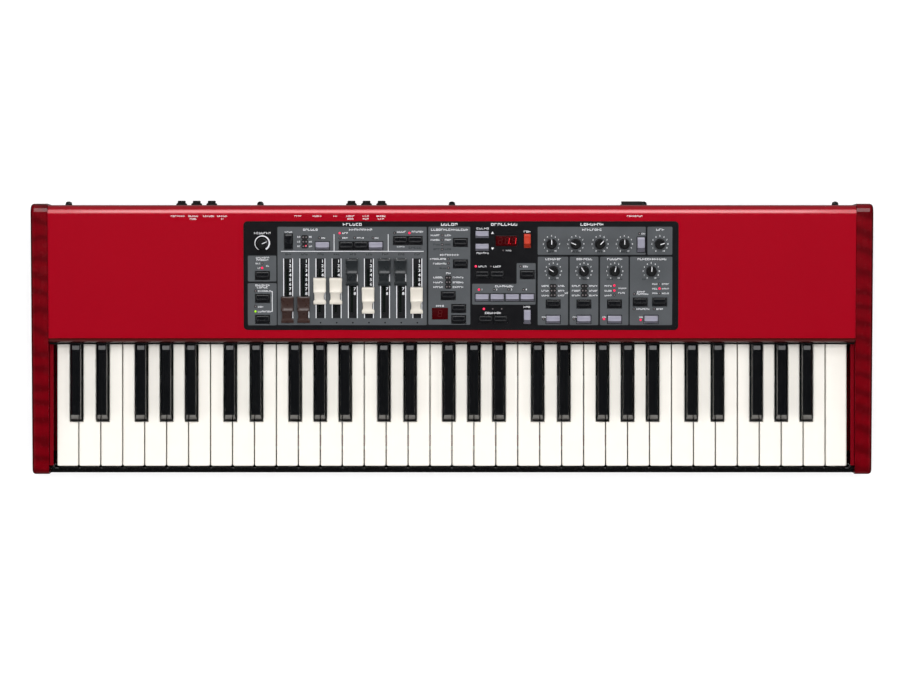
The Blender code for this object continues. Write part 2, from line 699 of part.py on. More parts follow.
def build_key_slip():
    rear_y = SLIP_FRONT_Y + SLIP_THICKNESS
    foot_top = FLOOR_SEAT_Z + SLIP_FOOT_THICKNESS
    points = [(SLIP_FRONT_Y, BODY_BOTTOM_Z), (rear_y, BODY_BOTTOM_Z), (rear_y, FLOOR_SEAT_Z),
              (SLIP_FOOT_REAR_Y, FLOOR_SEAT_Z), (SLIP_FOOT_REAR_Y, foot_top), (rear_y, foot_top),
              (rear_y, SLIP_TOP_Z), (SLIP_FRONT_Y, SLIP_TOP_Z)]
    radii = [SLIP_EDGE, 0, 0, 0, 0, 0, SLIP_EDGE, 2 * SLIP_EDGE]
    shape = Shape()
    shape.beam(rounded(points, radii, 2), BODY_HALF_WIDTH)
    slip = add_object("key_slip", shape, LOOKS["slip_paint"], smooth=SMOOTH_ANGLE)
    ends = Shape()
    foot_end = BODY_HALF_WIDTH - PAN_SHEET - SEAT_GAP
    for side in (-1, 1):
        ends.box(sorted((side * foot_end, side * (BODY_HALF_WIDTH + CUT_MARGIN))),
                 (PAN_FRONT_Y - SEAT_GAP, SLIP_FOOT_REAR_Y + CUT_MARGIN),
                 (BODY_BOTTOM_Z, foot_top + CUT_MARGIN))
    combine("cut_slip_foot_ends", ends, slip, "DIFFERENCE")


def rear_screws():
    """Five domed screw heads across the rear wall."""
    shape = Shape()
    for index in range(-2, 3):
        place = along_y(index * REAR_SCREW_PITCH, WALL_OUTER_Y, REAR_SCREW_Z)
        profile = [(REAR_SCREW_RADIUS, -FUSE_DEPTH)]
        profile += [(REAR_SCREW_RADIUS * across, REAR_SCREW_HEIGHT * out) for across, out in REAR_SCREW_DOME]
        shape.turned(profile, 10, place)
    return shape


# Keys

def key_bottom(y):
    """Height of a key's lower rim, stepped up towards the pivot."""
    marks = [(NOTCH_Y, WHITE_TOP_Z - KEY_FRONT_SKIRT), (KEY_MIDDLE_Y, WHITE_TOP_Z - KEY_MIDDLE_SKIRT),
             (TONGUE_START_Y, TONGUE_BOTTOM_Z)]
    if y <= marks[0][0]:
        return marks[0][1]
    for (low_y, low_z), (high_y, high_z) in zip(marks, marks[1:]):
        if y <= high_y:
            return low_z + (high_z - low_z) * (y - low_y) / (high_y - low_y)
    return marks[-1][1]


def white_key(shape, left, right, inner_left, inner_right):
    """One hollow white key: full width in front, cut back beside its black neighbours."""

    def outline(margin):
        """Plan of the key, drawn in from its sides by a margin."""
        corner = max(KEY_HOLLOW_RADIUS, KEY_CORNER_RADIUS - margin)
        points = []
        for x, side, first in ((left + margin, 1, math.pi), (right - margin, -1, 1.5 * math.pi)):
            for step in range(3):
                angle = first + math.pi / 4 * step
                points.append((x + side * corner + corner * math.cos(angle),
                               KEY_FRONT_Y + margin + corner + corner * math.sin(angle)))
        if inner_right < right:
            points += [(right - margin, NOTCH_Y - margin), (inner_right - margin, NOTCH_Y - margin)]
        else:
            points.append((right - margin, NOTCH_Y))
        rear = [KEY_MIDDLE_Y, TONGUE_START_Y, KEY_REAR_Y - margin]
        points += [(inner_right - margin, y) for y in rear]
        points += [(inner_left + margin, y) for y in reversed(rear)]
        if inner_left > left:
            points += [(inner_left + margin, NOTCH_Y - margin), (left + margin, NOTCH_Y - margin)]
        else:
            points.append((left + margin, NOTCH_Y))
        return points

    roof_z = WHITE_TOP_Z - KEY_ROOF
    shape.rings([[(x, y, roof_z) for x, y in outline(KEY_WALL)],
                 [(x, y, key_bottom(y)) for x, y in outline(KEY_WALL)],
                 [(x, y, key_bottom(y)) for x, y in outline(0.0)],
                 [(x, y, WHITE_TOP_Z - KEY_EDGE) for x, y in outline(0.0)],
                 [(x, y, WHITE_TOP_Z) for x, y in outline(KEY_EDGE)]])


def black_head_top(y):
    """Height of a black key's top: the raised head ends in a step just under the panel lip."""
    if y <= BLACK_HEAD_END_Y:
        return BLACK_TOP_Z
    return WHITE_TOP_Z


def black_key(shape, centre):
    """One hollow black key with a sloped front, tapered sides and a low tongue behind."""
    step_end = BLACK_HEAD_END_Y + BLACK_HEAD_STEP
    stations = [BLACK_FRONT_Y, BLACK_HEAD_END_Y, step_end, TONGUE_START_Y, KEY_REAR_Y]

    def ring(half_width, front_y, height):
        points = [(centre + half_width, front_y)]
        points += [(centre + half_width, y) for y in stations[1:]]
        points += [(centre - half_width, y) for y in reversed(stations[1:])]
        points.append((centre - half_width, front_y))
        return [(x, y, height(y)) for x, y in points]

    base_half = BLACK_BASE_WIDTH / 2
    top_half = BLACK_TOP_WIDTH / 2
    roof_z = WHITE_TOP_Z - KEY_ROOF

    def shoulder(y):
        return black_head_top(y) - KEY_EDGE

    def waist(y):
        return WHITE_TOP_Z - 2 * KEY_EDGE

    slope_run = BLACK_FRONT_SLOPE * (BLACK_TOP_Z - KEY_EDGE - waist(0)) / (BLACK_TOP_Z - waist(0))
    inner = base_half - KEY_WALL
    rings = [ring(inner, BLACK_FRONT_Y + KEY_WALL, lambda y: roof_z),
             ring(inner, BLACK_FRONT_Y + KEY_WALL, key_bottom),
             ring(base_half, BLACK_FRONT_Y, key_bottom),
             ring(base_half, BLACK_FRONT_Y, waist),
             ring(top_half, BLACK_FRONT_Y + slope_run, shoulder),
             ring(top_half - KEY_EDGE, BLACK_FRONT_Y + BLACK_FRONT_SLOPE + KEY_EDGE, black_head_top)]
    for index in (0, 1):
        rings[index] = [(x, min(y, KEY_REAR_Y - KEY_WALL), z) for x, y, z in rings[index]]
    shape.rings(rings, ladder=True)


def white_limits(number):
    """Edges of one white key's front part and of its narrow rear part."""
    note = WHITE_NOTES[number % 7]
    before = WHITE_NOTES[(number - 1) % 7]
    left_joint = FIRST_KEY_X + number * WHITE_PITCH
    right_joint = left_joint + WHITE_PITCH
    left = left_joint + KEY_SIDE_GAP
    right = right_joint - KEY_SIDE_GAP
    inner_left = left
    inner_right = right
    if before in BLACK_SHIFT and number > 0:
        inner_left = left_joint + BLACK_SHIFT[before] + NOTCH_HALF_WIDTH
    if note in BLACK_SHIFT and number < WHITE_COUNT - 1:
        inner_right = right_joint + BLACK_SHIFT[note] - NOTCH_HALF_WIDTH
    return left, right, inner_left, inner_right


def black_centre(number):
    """Middle of the black key that lies right of a white key."""
    note = WHITE_NOTES[number % 7]
    return FIRST_KEY_X + (number + 1) * WHITE_PITCH + BLACK_SHIFT[note]


def tongue_middle(number):
    """Middle of a white key's narrow rear part."""
    _, _, inner_left, inner_right = white_limits(number)
    return (inner_left + inner_right) / 2


def hinge_bar(level, left, right, centres):
    """Flat bar behind the keys of one comb, with a tab let into the rear wall of each key."""
    half = BAR_TAB_WIDTH / 2
    tab_front = BAR_FRONT_Y - BAR_TAB_REACH
    outline = [(left, BAR_FRONT_Y)]
    for x in centres:
        outline += [(x - half, BAR_FRONT_Y), (x - half, tab_front), (x + half, tab_front),
                    (x + half, BAR_FRONT_Y)]
    outline += [(right, BAR_FRONT_Y), (right, BAR_REAR_Y), (left, BAR_REAR_Y)]
    low = TONGUE_BOTTOM_Z + level * BAR_SPACING + SEAT_GAP
    shape = Shape()
    shape.prism(outline, low, low + BAR_THICKNESS)
    return shape


def build_keys():
    """Each octave has two combs of white keys and one of black keys, turning on one pivot line."""
    pivot = (0.0, PIVOT_Y, PIVOT_Z)
    for octave in range(OCTAVES):
        left = FIRST_KEY_X + octave * OCTAVE_WIDTH + BAR_END_GAP / 2
        right = left + OCTAVE_WIDTH - BAR_END_GAP
        for level, notes in enumerate(WHITE_COMBS):
            shape = Shape()
            centres = []
            for note in notes:
                number = octave * 7 + WHITE_NOTES.index(note)
                white_key(shape, *white_limits(number))
                centres.append(tongue_middle(number))
            name = f"octave_{octave + 1}_{notes.lower()}_keys"
            comb = add_object(name, shape, LOOKS["white_key"], pivot)
            combine(f"join_{name}", hinge_bar(level, left, right, centres), comb, "UNION")
        shape = Shape()
        centres = [black_centre(octave * 7 + WHITE_NOTES.index(note)) for note in BLACK_SHIFT]
        for centre in centres:
            black_key(shape, centre)
        name = f"octave_{octave + 1}_black_keys"
        comb = add_object(name, shape, LOOKS["black_key"], pivot)
        bar = hinge_bar(len(WHITE_COMBS), left, right, centres)
        combine(f"join_{name}", bar, comb, "UNION")
    shape = Shape()
    white_key(shape, *white_limits(WHITE_COUNT - 1))
    add_object("top_c_key", shape, LOOKS["white_key"], pivot)


def tongue_centres():
    """Middle of every key's rear tongue, from the lowest note to the highest."""
    centres = []
    for number in range(WHITE_COUNT):
        centres.append(tongue_middle(number))
        if WHITE_NOTES[number % 7] in BLACK_SHIFT and number < WHITE_COUNT - 1:
            centres.append(black_centre(number))
    return centres


# Key bed

def drop_at(y):
    """How far a key's underside falls at full travel."""
    return (PIVOT_Y - y) * math.sin(KEY_TRAVEL)


def build_key_bed():
    half = BED_SHEET / 2
    floor = FLOOR_SEAT_Z + half
    felt_front = STOP_FELT_Y - STOP_FELT_WIDTH / 2
    felt_rear = STOP_FELT_Y + STOP_FELT_WIDTH / 2
    felt_top = key_bottom(STOP_FELT_Y) - drop_at(felt_front) - SEAT_GAP
    felt_low = felt_top - STOP_FELT_THICKNESS
    rail_z = felt_low - SEAT_GAP - half
    shelf = PIVOT_SHELF_Z - half
    upper_z = WHITE_TOP_Z + 2 * SEAT_GAP + half
    upright_y = BAR_REAR_Y + BED_UPRIGHT_GAP + half
    shelf_front = SPRING_STRIP_Y[0] - BED_SHELF_MARGIN
    rail_front = felt_front - BED_RAIL_MARGIN
    path = [(felt_rear + BED_SHELF_MARGIN, rail_z), (rail_front, rail_z), (rail_front, floor),
            (CONTACT_SHELF_FRONT_Y, floor), (CONTACT_SHELF_FRONT_Y, CONTACT_SHELF_Z - half),
            (CONTACT_SHELF_REAR_Y, CONTACT_SHELF_Z - half), (CONTACT_SHELF_REAR_Y, floor),
            (shelf_front, floor), (shelf_front, shelf), (upright_y, shelf), (upright_y, upper_z),
            (PIVOT_Y - BED_HOOD_REACH, upper_z)]
    frame = Shape()
    frame.beam(folded_sheet(path, BED_SHEET), BED_HALF_LENGTH)
    bed = add_object("key_frame", frame, LOOKS["steel"], smooth=SMOOTH_ANGLE)
    rod = Shape()
    rod.turned([(PIVOT_ROD_RADIUS, -BED_HALF_LENGTH + FUSE_DEPTH),
                (PIVOT_ROD_RADIUS, BED_HALF_LENGTH - FUSE_DEPTH)], 12,
               Matrix.Translation((0, PIVOT_Y, PIVOT_Z)) @ Matrix.Rotation(math.pi / 2, 4, "Y"))
    combine("join_pivot_rod", rod, bed, "UNION")

    felt = Shape()
    felt.box((-BED_HALF_LENGTH, BED_HALF_LENGTH), (felt_front, felt_rear), (felt_low, felt_top))
    add_object("stop_felt", felt, LOOKS["felt"])

    board = Shape()
    board_low = CONTACT_SHELF_Z + SEAT_GAP
    board_high = board_low + BOARD_THICKNESS
    board.box((-BED_HALF_LENGTH, BED_HALF_LENGTH),
              (CONTACT_SHELF_FRONT_Y + CONTACT_BOARD_MARGIN, CONTACT_SHELF_REAR_Y - CONTACT_BOARD_MARGIN),
              (board_low, board_high))
    add_object("contact_board", board, LOOKS["board"])

    strip = Shape()
    strip_front = CONTACT_STRIP_Y - CONTACT_STRIP_WIDTH / 2
    strip_rear = CONTACT_STRIP_Y + CONTACT_STRIP_WIDTH / 2
    strip_top = key_bottom(strip_front) - drop_at(strip_front) - SEAT_GAP
    strip_low = board_high + SEAT_GAP
    shoulder = strip_low + CONTACT_STRIP_BASE
    crown = CONTACT_STRIP_WIDTH / 4
    strip.beam([(strip_front, strip_low), (strip_rear, strip_low), (strip_rear, shoulder),
                (CONTACT_STRIP_Y + crown, strip_top), (CONTACT_STRIP_Y - crown, strip_top),
                (strip_front, shoulder)], BED_HALF_LENGTH)
    add_object("contact_strip", strip, LOOKS["rubber"])
    build_springs()


def build_springs():
    """One leaf comb with a finger under the tongue of every key."""
    half = SPRING_WIDTH / 2
    strip_front, strip_rear = SPRING_STRIP_Y
    outline = [(-BED_HALF_LENGTH, strip_front)]
    for x in tongue_centres():
        outline += [(x - half, strip_front), (x - half, SPRING_FRONT_Y), (x + half, SPRING_FRONT_Y),
                    (x + half, strip_front)]
    outline += [(BED_HALF_LENGTH, strip_front), (BED_HALF_LENGTH, strip_rear),
                (-BED_HALF_LENGTH, strip_rear)]
    low = PIVOT_SHELF_Z + SEAT_GAP
    shape = Shape()
    shape.prism(outline, low, low + SPRING_THICKNESS)
    add_object("key_springs", shape, LOOKS["spring"])


# Control panel

def drawbar_x(index):
    return DRAWBAR_FIRST_X + index * DRAWBAR_PITCH


def build_fascia(plane):
    """Fascia with a thin flange in the panel's recess and a thicker plate in its window."""
    middle_x = sum(FASCIA_X) / 2
    middle_v = sum(FASCIA_V) / 2
    width = FASCIA_X[1] - FASCIA_X[0]
    depth = FASCIA_V[1] - FASCIA_V[0]
    flange = soft_rectangle(middle_x, middle_v, width, depth, FASCIA_CORNER, 3)
    reach = FASCIA_LEDGE + SEAT_GAP
    plate = soft_rectangle(middle_x, middle_v, width - 2 * reach, depth - 2 * reach, FASCIA_CORNER, 3)
    shape = Shape()
    shape.rings([[(x, v, -FASCIA_DEPTH) for x, v in plate],
                 [(x, v, -FASCIA_FLANGE) for x, v in plate],
                 [(x, v, -FASCIA_FLANGE) for x, v in flange],
                 [(x, v, 0.0) for x, v in flange]])
    fascia = add_object("control_fascia", shape, LOOKS["film"], parent=plane)

    holes = Shape()
    low = -FASCIA_DEPTH - CUT_MARGIN
    high = CUT_MARGIN
    for caps in BUTTON_GROUPS.values():
        for x, v, (cap_width, cap_depth) in caps:
            holes.prism(rectangle(x, v, cap_width + 2 * BUTTON_GAP, cap_depth + 2 * BUTTON_GAP), low, high)
    for x, v in KNOBS.values():
        holes.turned([(KNOB_HOLE_RADIUS, low), (KNOB_HOLE_RADIUS, high)], HOLE_SIDES,
                     Matrix.Translation((x, v, 0)))
    half = DRAWBAR_STEM_LENGTH / 2 + DRAWBAR_SLIT_GAP
    travel = DRAWBAR_STEP * DRAWBAR_STEPS
    for index in range(DRAWBAR_COUNT):
        x = drawbar_x(index) + DRAWBAR_STEM_OFFSET
        slit = (DRAWBAR_STEM_WIDTH + 2 * DRAWBAR_SLIT_GAP) / 2
        holes.box((x - slit, x + slit), (DRAWBAR_HOME_V - travel - half, DRAWBAR_HOME_V + half), (low, high))
    for x, v, window_width, window_depth in DISPLAYS:
        holes.prism(rectangle(x, v, window_width + 2 * SEAT_GAP, window_depth + 2 * SEAT_GAP), low, high)
    combine("cut_fascia_holes", holes, fascia, "DIFFERENCE", plane)


def build_control_board(plane):
    """Board under the fascia, with its posts and the two displays that rise into their windows."""
    margin = CONTROL_BOARD_MARGIN
    x_range = (FASCIA_X[0] + margin, FASCIA_X[1] - margin)
    v_range = (FASCIA_V[0] + margin, FASCIA_V[1] - margin)
    shape = Shape()
    shape.box(x_range, v_range, (CONTROL_BOARD_TOP - BOARD_THICKNESS, CONTROL_BOARD_TOP))
    board = add_object("control_board", shape, LOOKS["board"], parent=plane)
    raised = Shape()
    inset_by = BOARD_POST_SIZE / 2 + FUSE_DEPTH
    low = CONTROL_BOARD_TOP - FUSE_DEPTH
    for x in (x_range[0] + inset_by, PROGRAM_COLUMN - BOARD_POST_INSET, x_range[1] - inset_by):
        for v in (v_range[0] + inset_by, v_range[1] - inset_by):
            raised.prism(rectangle(x, v, BOARD_POST_SIZE, BOARD_POST_SIZE), low, -FASCIA_DEPTH - SEAT_GAP)
    for x, v, width, depth in DISPLAYS:
        raised.prism(rectangle(x, v, width, depth), low, -DISPLAY_SINK)
    combine("join_posts_and_displays", raised, board, "UNION", plane)


def build_knobs(plane):
    profile = [(KNOB_SHAFT_RADIUS, CONTROL_BOARD_TOP + SEAT_GAP), (KNOB_SHAFT_RADIUS, KNOB_LIFT),
               (KNOB_RADIUS, KNOB_LIFT), (KNOB_TOP_RADIUS, KNOB_HEIGHT - KNOB_EDGE),
               (KNOB_TOP_RADIUS - KNOB_EDGE, KNOB_HEIGHT)]
    for name, (x, v) in KNOBS.items():
        shape = Shape()
        shape.turned(profile, KNOB_SIDES, Matrix.Translation((x, v, 0)))
        add_object(name, shape, LOOKS["knob"], (x, v, 0.0), plane, smooth=SMOOTH_ANGLE)


def build_drawbars(plane):
    """Nine sliding tabs: a broad ridged pad, a narrow neck and a flared front lip."""
    half_length = DRAWBAR_LENGTH / 2
    half_width = DRAWBAR_WIDTH / 2
    edge = DRAWBAR_EDGE
    for index in range(DRAWBAR_COUNT):
        x = drawbar_x(index)
        v = DRAWBAR_HOME_V - DRAWBAR_REGISTRATION[index] * DRAWBAR_STEP
        shape = Shape()
        rings = []
        for along_share, half_share, top in DRAWBAR_STATIONS:
            along = half_length * along_share
            half = half_width * half_share
            rings.append([(x - half, v + along, DRAWBAR_LIFT), (x + half, v + along, DRAWBAR_LIFT),
                          (x + half, v + along, top - edge), (x + half - edge, v + along, top),
                          (x - half + edge, v + along, top), (x - half, v + along, top - edge)])
        shape.rings(rings)
        look = LOOKS[f"drawbar_{DRAWBAR_COLOURS[index]}"]
        tab = add_object(f"drawbar_{index + 1}", shape, look, (x, v, 0.0), plane)
        stem = Shape()
        stem.prism(rectangle(x + DRAWBAR_STEM_OFFSET, v, DRAWBAR_STEM_WIDTH, DRAWBAR_STEM_LENGTH),
                   CONTROL_BOARD_TOP + SEAT_GAP, DRAWBAR_LIFT + FUSE_DEPTH)
        combine(f"join_stem_{index + 1}", stem, tab, "UNION", plane)


def build_buttons(plane):
    """Caps of each group, joined by a carrier strip that runs under the fascia."""
    looks = {"program_buttons": "cap_grey", "effect_on_buttons": "cap_grey",
             "equaliser_on_button": "cap_grey", "store_button": "cap_red"}
    foot = CONTROL_BOARD_TOP + BUTTON_TRAVEL + SEAT_GAP
    carrier_top = -FASCIA_DEPTH - SEAT_GAP
    for name, caps in BUTTON_GROUPS.items():
        shape = Shape()
        for x, v, (width, depth) in caps:
            outline = soft_rectangle(x, v, width, depth, BUTTON_CORNER)
            shape.rings([[(px, py, foot) for px, py in outline],
                         [(px, py, BUTTON_RISE - BUTTON_EDGE) for px, py in outline],
                         [(px, py, BUTTON_RISE) for px, py in inset(outline, BUTTON_EDGE)]])
        group = add_object(name, shape, LOOKS[looks.get(name, "cap_black")], parent=plane)
        if len(caps) > 1:
            carrier = Shape()
            strip = folded_sheet([cap[:2] for cap in caps], CARRIER_WIDTH)
            carrier.prism(strip, carrier_top - CARRIER_THICKNESS, carrier_top)
            combine(f"join_{name}", carrier, group, "UNION", plane)


# Rear fittings

def build_sockets():
    """Board on four posts with the audio jacks and data sockets that reach through the rear wall."""
    shallowest = min(JACK_BODY_RADIUS, MINI_JACK_BODY_RADIUS, ROUND_SOCKET_RADIUS, SQUARE_SOCKET_SIZE[1] / 2)
    top = SOCKET_Z - shallowest + SOCKET_SINK
    low = top - BOARD_THICKNESS
    mouth = WALL_OUTER_Y + SOCKET_PROUD
    y_range = (SOCKET_BOARD_FRONT_Y, mouth - ROUND_SOCKET_DEPTH - SEAT_GAP)
    shape = Shape()
    shape.box(SOCKET_BOARD_X, y_range, (low, top))
    board = add_object("socket_board", shape, LOOKS["socket"], smooth=SMOOTH_ANGLE)

    fittings = Shape()
    half = SOCKET_POST_SIZE / 2
    reach = half + SOCKET_POST_MARGIN
    post_front = y_range[0] + SOCKET_POST_MARGIN
    for x in (SOCKET_BOARD_X[0] + reach, SOCKET_BOARD_X[1] - reach):
        fittings.box((x - half, x + half), (post_front, post_front + SOCKET_POST_SIZE),
                     (FLOOR_SEAT_Z, low + FUSE_DEPTH))
    nut_start = WALL_OUTER_Y + SEAT_GAP
    body_start = WALL_INNER_Y - SEAT_GAP
    nut_end = nut_start + JACK_NUT_LENGTH
    profile = [(JACK_BORE_RADIUS, JACK_TIP_Y - JACK_BORE_DEPTH), (JACK_BORE_RADIUS, JACK_TIP_Y),
               (JACK_BUSH_RADIUS, JACK_TIP_Y), (JACK_BUSH_RADIUS, nut_end),
               (JACK_NUT_RADIUS, nut_end - JACK_NUT_CHAMFER), (JACK_NUT_RADIUS, nut_start),
               (JACK_BUSH_RADIUS, nut_start), (JACK_BUSH_RADIUS, body_start),
               (JACK_BODY_RADIUS, body_start), (JACK_BODY_RADIUS, body_start - JACK_BODY_LENGTH)]
    for x in JACK_X:
        fittings.turned(profile, 12, along_y(x, 0.0, SOCKET_Z))
    mini = [(MINI_JACK_BORE_RADIUS, mouth - MINI_JACK_BORE_DEPTH), (MINI_JACK_BORE_RADIUS, mouth),
            (MINI_JACK_RADIUS, mouth), (MINI_JACK_RADIUS, body_start),
            (MINI_JACK_BODY_RADIUS, body_start), (MINI_JACK_BODY_RADIUS, mouth - MINI_JACK_LENGTH)]
    fittings.turned(mini, 12, along_y(MINI_JACK_X, 0.0, SOCKET_Z))
    inner = ROUND_SOCKET_RADIUS - ROUND_SOCKET_WALL
    ring = [(inner, mouth - ROUND_SOCKET_DEPTH), (inner, mouth), (ROUND_SOCKET_RADIUS, mouth),
            (ROUND_SOCKET_RADIUS, mouth - SOCKET_BODY_LENGTH)]
    for x in ROUND_SOCKET_X:
        fittings.turned(ring, 12, along_y(x, 0.0, SOCKET_Z))
    shell = rectangle(SQUARE_SOCKET_X, SOCKET_Z, *SQUARE_SOCKET_SIZE)
    hole = inset(shell, SQUARE_SOCKET_WALL)
    fittings.rings([[(x, mouth - ROUND_SOCKET_DEPTH, z) for x, z in hole], [(x, mouth, z) for x, z in hole],
                    [(x, mouth, z) for x, z in shell],
                    [(x, mouth - SOCKET_BODY_LENGTH, z) for x, z in shell]])
    combine("join_sockets", fittings, board, "UNION")


def build_mains():
    """Recessed three-pin inlet, and the square housing that the power rocker turns in."""
    face = WALL_OUTER_Y
    rear = face - MAINS_BLOCK_LENGTH
    block = rounded(rectangle(INLET_X, SOCKET_Z, *INLET_SIZE), [INLET_EDGE] * 4, 1)
    cavity = rounded(rectangle(INLET_X, SOCKET_Z, *INLET_CAVITY),
                     [INLET_EDGE, INLET_EDGE, INLET_CHAMFER, INLET_CHAMFER], 1)
    inlet = Shape()
    inlet.rings([[(x, face - INLET_CAVITY_DEPTH, z) for x, z in cavity], [(x, face, z) for x, z in cavity],
                 [(x, face, z) for x, z in block], [(x, rear, z) for x, z in block]])
    add_object("mains_inlet", inlet, LOOKS["socket"])

    body = rectangle(SWITCH_X, SOCKET_Z, *SWITCH_SIZE)
    well = inset(body, SWITCH_WALL)
    front = face + SWITCH_PROUD
    housing = Shape()
    housing.rings([[(x, front - SWITCH_WELL_DEPTH, z) for x, z in well], [(x, front, z) for x, z in well],
                   [(x, front, z) for x, z in inset(body, SWITCH_EDGE)],
                   [(x, front - SWITCH_EDGE, z) for x, z in body],
                   [(x, rear, z) for x, z in body]])
    add_object("switch_housing", housing, LOOKS["socket"])


def build_rocker():
    """Rocker of the power switch, a shallow vee seen from the side, turned on a cross axis."""
    half_x = SWITCH_SIZE[0] / 2 - SWITCH_WALL - ROCKER_GAP
    half_z = (SWITCH_SIZE[1] / 2 - SWITCH_WALL - ROCKER_GAP) * math.cos(ROCKER_TILT) - ROCKER_GAP
    pivot_y = WALL_OUTER_Y - ROCKER_PIVOT_DEPTH
    reach = WALL_OUTER_Y + ROCKER_REACH - pivot_y
    waist = reach - half_z * math.tan(ROCKER_TILT)
    shoulder = half_z - reach * math.sin(ROCKER_TILT)
    outline = [(-ROCKER_HEEL, -shoulder), (-ROCKER_HEEL, shoulder), (0.0, half_z), (reach, shoulder),
               (waist, 0.0), (reach, -shoulder), (0.0, -half_z)]
    turn = Matrix.Rotation(ROCKER_TILT, 2)
    section = [turn @ Vector(point) for point in outline]
    shape = Shape()
    shape.beam([(pivot_y + y, SOCKET_Z + z) for y, z in section], half_x, SWITCH_X)
    add_object("power_rocker", shape, LOOKS["socket"], (SWITCH_X, pivot_y, SOCKET_Z))


def main():
    clear_scene()
    plane = panel_frame()
    build_cheeks()
    build_base_pan()
    build_top_panel(plane)
    build_key_slip()
    build_keys()
    build_key_bed()
    build_fascia(plane)
    build_control_board(plane)
    build_knobs(plane)
    build_drawbars(plane)
    build_buttons(plane)
    build_sockets()
    build_mains()
    build_rocker()


main()
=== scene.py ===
"""Finishes and printed detail of a 61-key stage keyboard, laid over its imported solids."""
import math
import random

import bmesh
import bpy
from mathutils import Matrix, Vector


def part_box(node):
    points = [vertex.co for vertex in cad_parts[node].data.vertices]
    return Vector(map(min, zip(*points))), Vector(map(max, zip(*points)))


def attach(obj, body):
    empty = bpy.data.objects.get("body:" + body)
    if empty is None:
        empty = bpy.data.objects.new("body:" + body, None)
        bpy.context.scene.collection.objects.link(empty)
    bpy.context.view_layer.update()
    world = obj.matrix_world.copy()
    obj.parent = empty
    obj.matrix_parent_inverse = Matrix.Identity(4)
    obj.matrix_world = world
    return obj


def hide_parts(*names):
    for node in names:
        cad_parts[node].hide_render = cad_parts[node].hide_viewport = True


bl_info = {
    "name": "Stage Keyboard Finish",
    "version": (1, 0, 0),
    "blender": (4, 5, 0),
    "location": "View3D > Sidebar > Keyboard",
    "description": "Dresses a stage keyboard with paint, print, knobs, caps, drawbars and lamps",
    "category": "Object",
}

MM = 0.001
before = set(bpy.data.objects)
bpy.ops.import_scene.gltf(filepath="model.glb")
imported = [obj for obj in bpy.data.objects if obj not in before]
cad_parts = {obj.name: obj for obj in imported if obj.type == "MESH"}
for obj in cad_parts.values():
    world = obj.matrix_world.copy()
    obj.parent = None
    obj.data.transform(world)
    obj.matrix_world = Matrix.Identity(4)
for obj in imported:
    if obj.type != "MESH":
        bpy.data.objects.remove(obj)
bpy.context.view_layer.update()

# The sloped panel: X along it, V up the slope and H off its surface, all in millimetres
SLOPE = math.radians(5.0)
FASCIA_REAR_V = 123.0
FASCIA_FRONT_V = 8.0
PANEL_LINE_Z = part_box("control_fascia")[1].z - FASCIA_REAR_V * MM * math.sin(SLOPE)
PANEL = Matrix.Translation((0, 0, PANEL_LINE_Z)) @ Matrix.Rotation(SLOPE, 4, "X") @ Matrix.Scale(MM, 4)
WORLD = Matrix.Scale(MM, 4)
CASE = "case"

# Button caps of each group: centre X, centre V, width, depth
WIDE = (14.0, 7.8)
SMALL = (13.6, 7.0)
TALL = (7.6, 15.4)
NARROW = (6.8, 14.6)
# Which caps of a group are grey
GREY_CAPS = {"organ_buttons": (1, 4), "select_buttons": (0, 1), "program_buttons": (0, 1, 2, 3, 4),
             "effect_on_buttons": (0, 1, 2, 3), "equaliser_on_button": (0,)}
CAPS = {
    "left_buttons": [(-202.5, 65.5, *WIDE), (-202.5, 41.0, *WIDE), (-202.5, 18.5, *WIDE)],
    "organ_buttons": [(-174.5, 102.0, *TALL), (-138.4, 97.5, *WIDE), (-113.0, 97.5, *WIDE),
                      (-97.2, 97.5, *WIDE), (-81.4, 97.5, *WIDE), (-55.0, 103.0, *WIDE), (-39.2, 103.0, *WIDE)],
    "piano_buttons": [(9.0, 101.0, *WIDE), (9.0, 78.0, *WIDE), (-4.0, 44.0, *WIDE), (7.2, 30.2, *WIDE),
                      (7.2, 18.5, *WIDE)],
    "select_buttons": [(32.2, 109.6, *SMALL), (32.2, 96.0, *SMALL), (32.2, 66.5, *SMALL), (48.3, 66.5, *SMALL),
                       (80.5, 66.5, *WIDE)],
    "program_buttons": [(32.2, 42.0, *SMALL), (48.3, 42.0, *SMALL), (64.4, 42.0, *SMALL), (80.5, 42.0, *SMALL),
                        (80.5, 21.3, *NARROW), (52.1, 18.5, *SMALL), (36.0, 18.5, *SMALL)],
    "store_button": [(80.5, 102.7, *NARROW)],
    "effect_buttons": [(108.2, 35.0, *WIDE), (141.0, 35.0, *WIDE), (173.8, 35.0, *WIDE), (201.2, 37.2, *WIDE),
                       (222.0, 37.2, *WIDE)],
    "effect_on_buttons": [(108.2, 18.5, *WIDE), (141.0, 18.5, *WIDE), (173.8, 18.5, *WIDE), (212.9, 18.5, *WIDE)],
    "equaliser_on_button": [(202.0, 98.6, *TALL)],
}
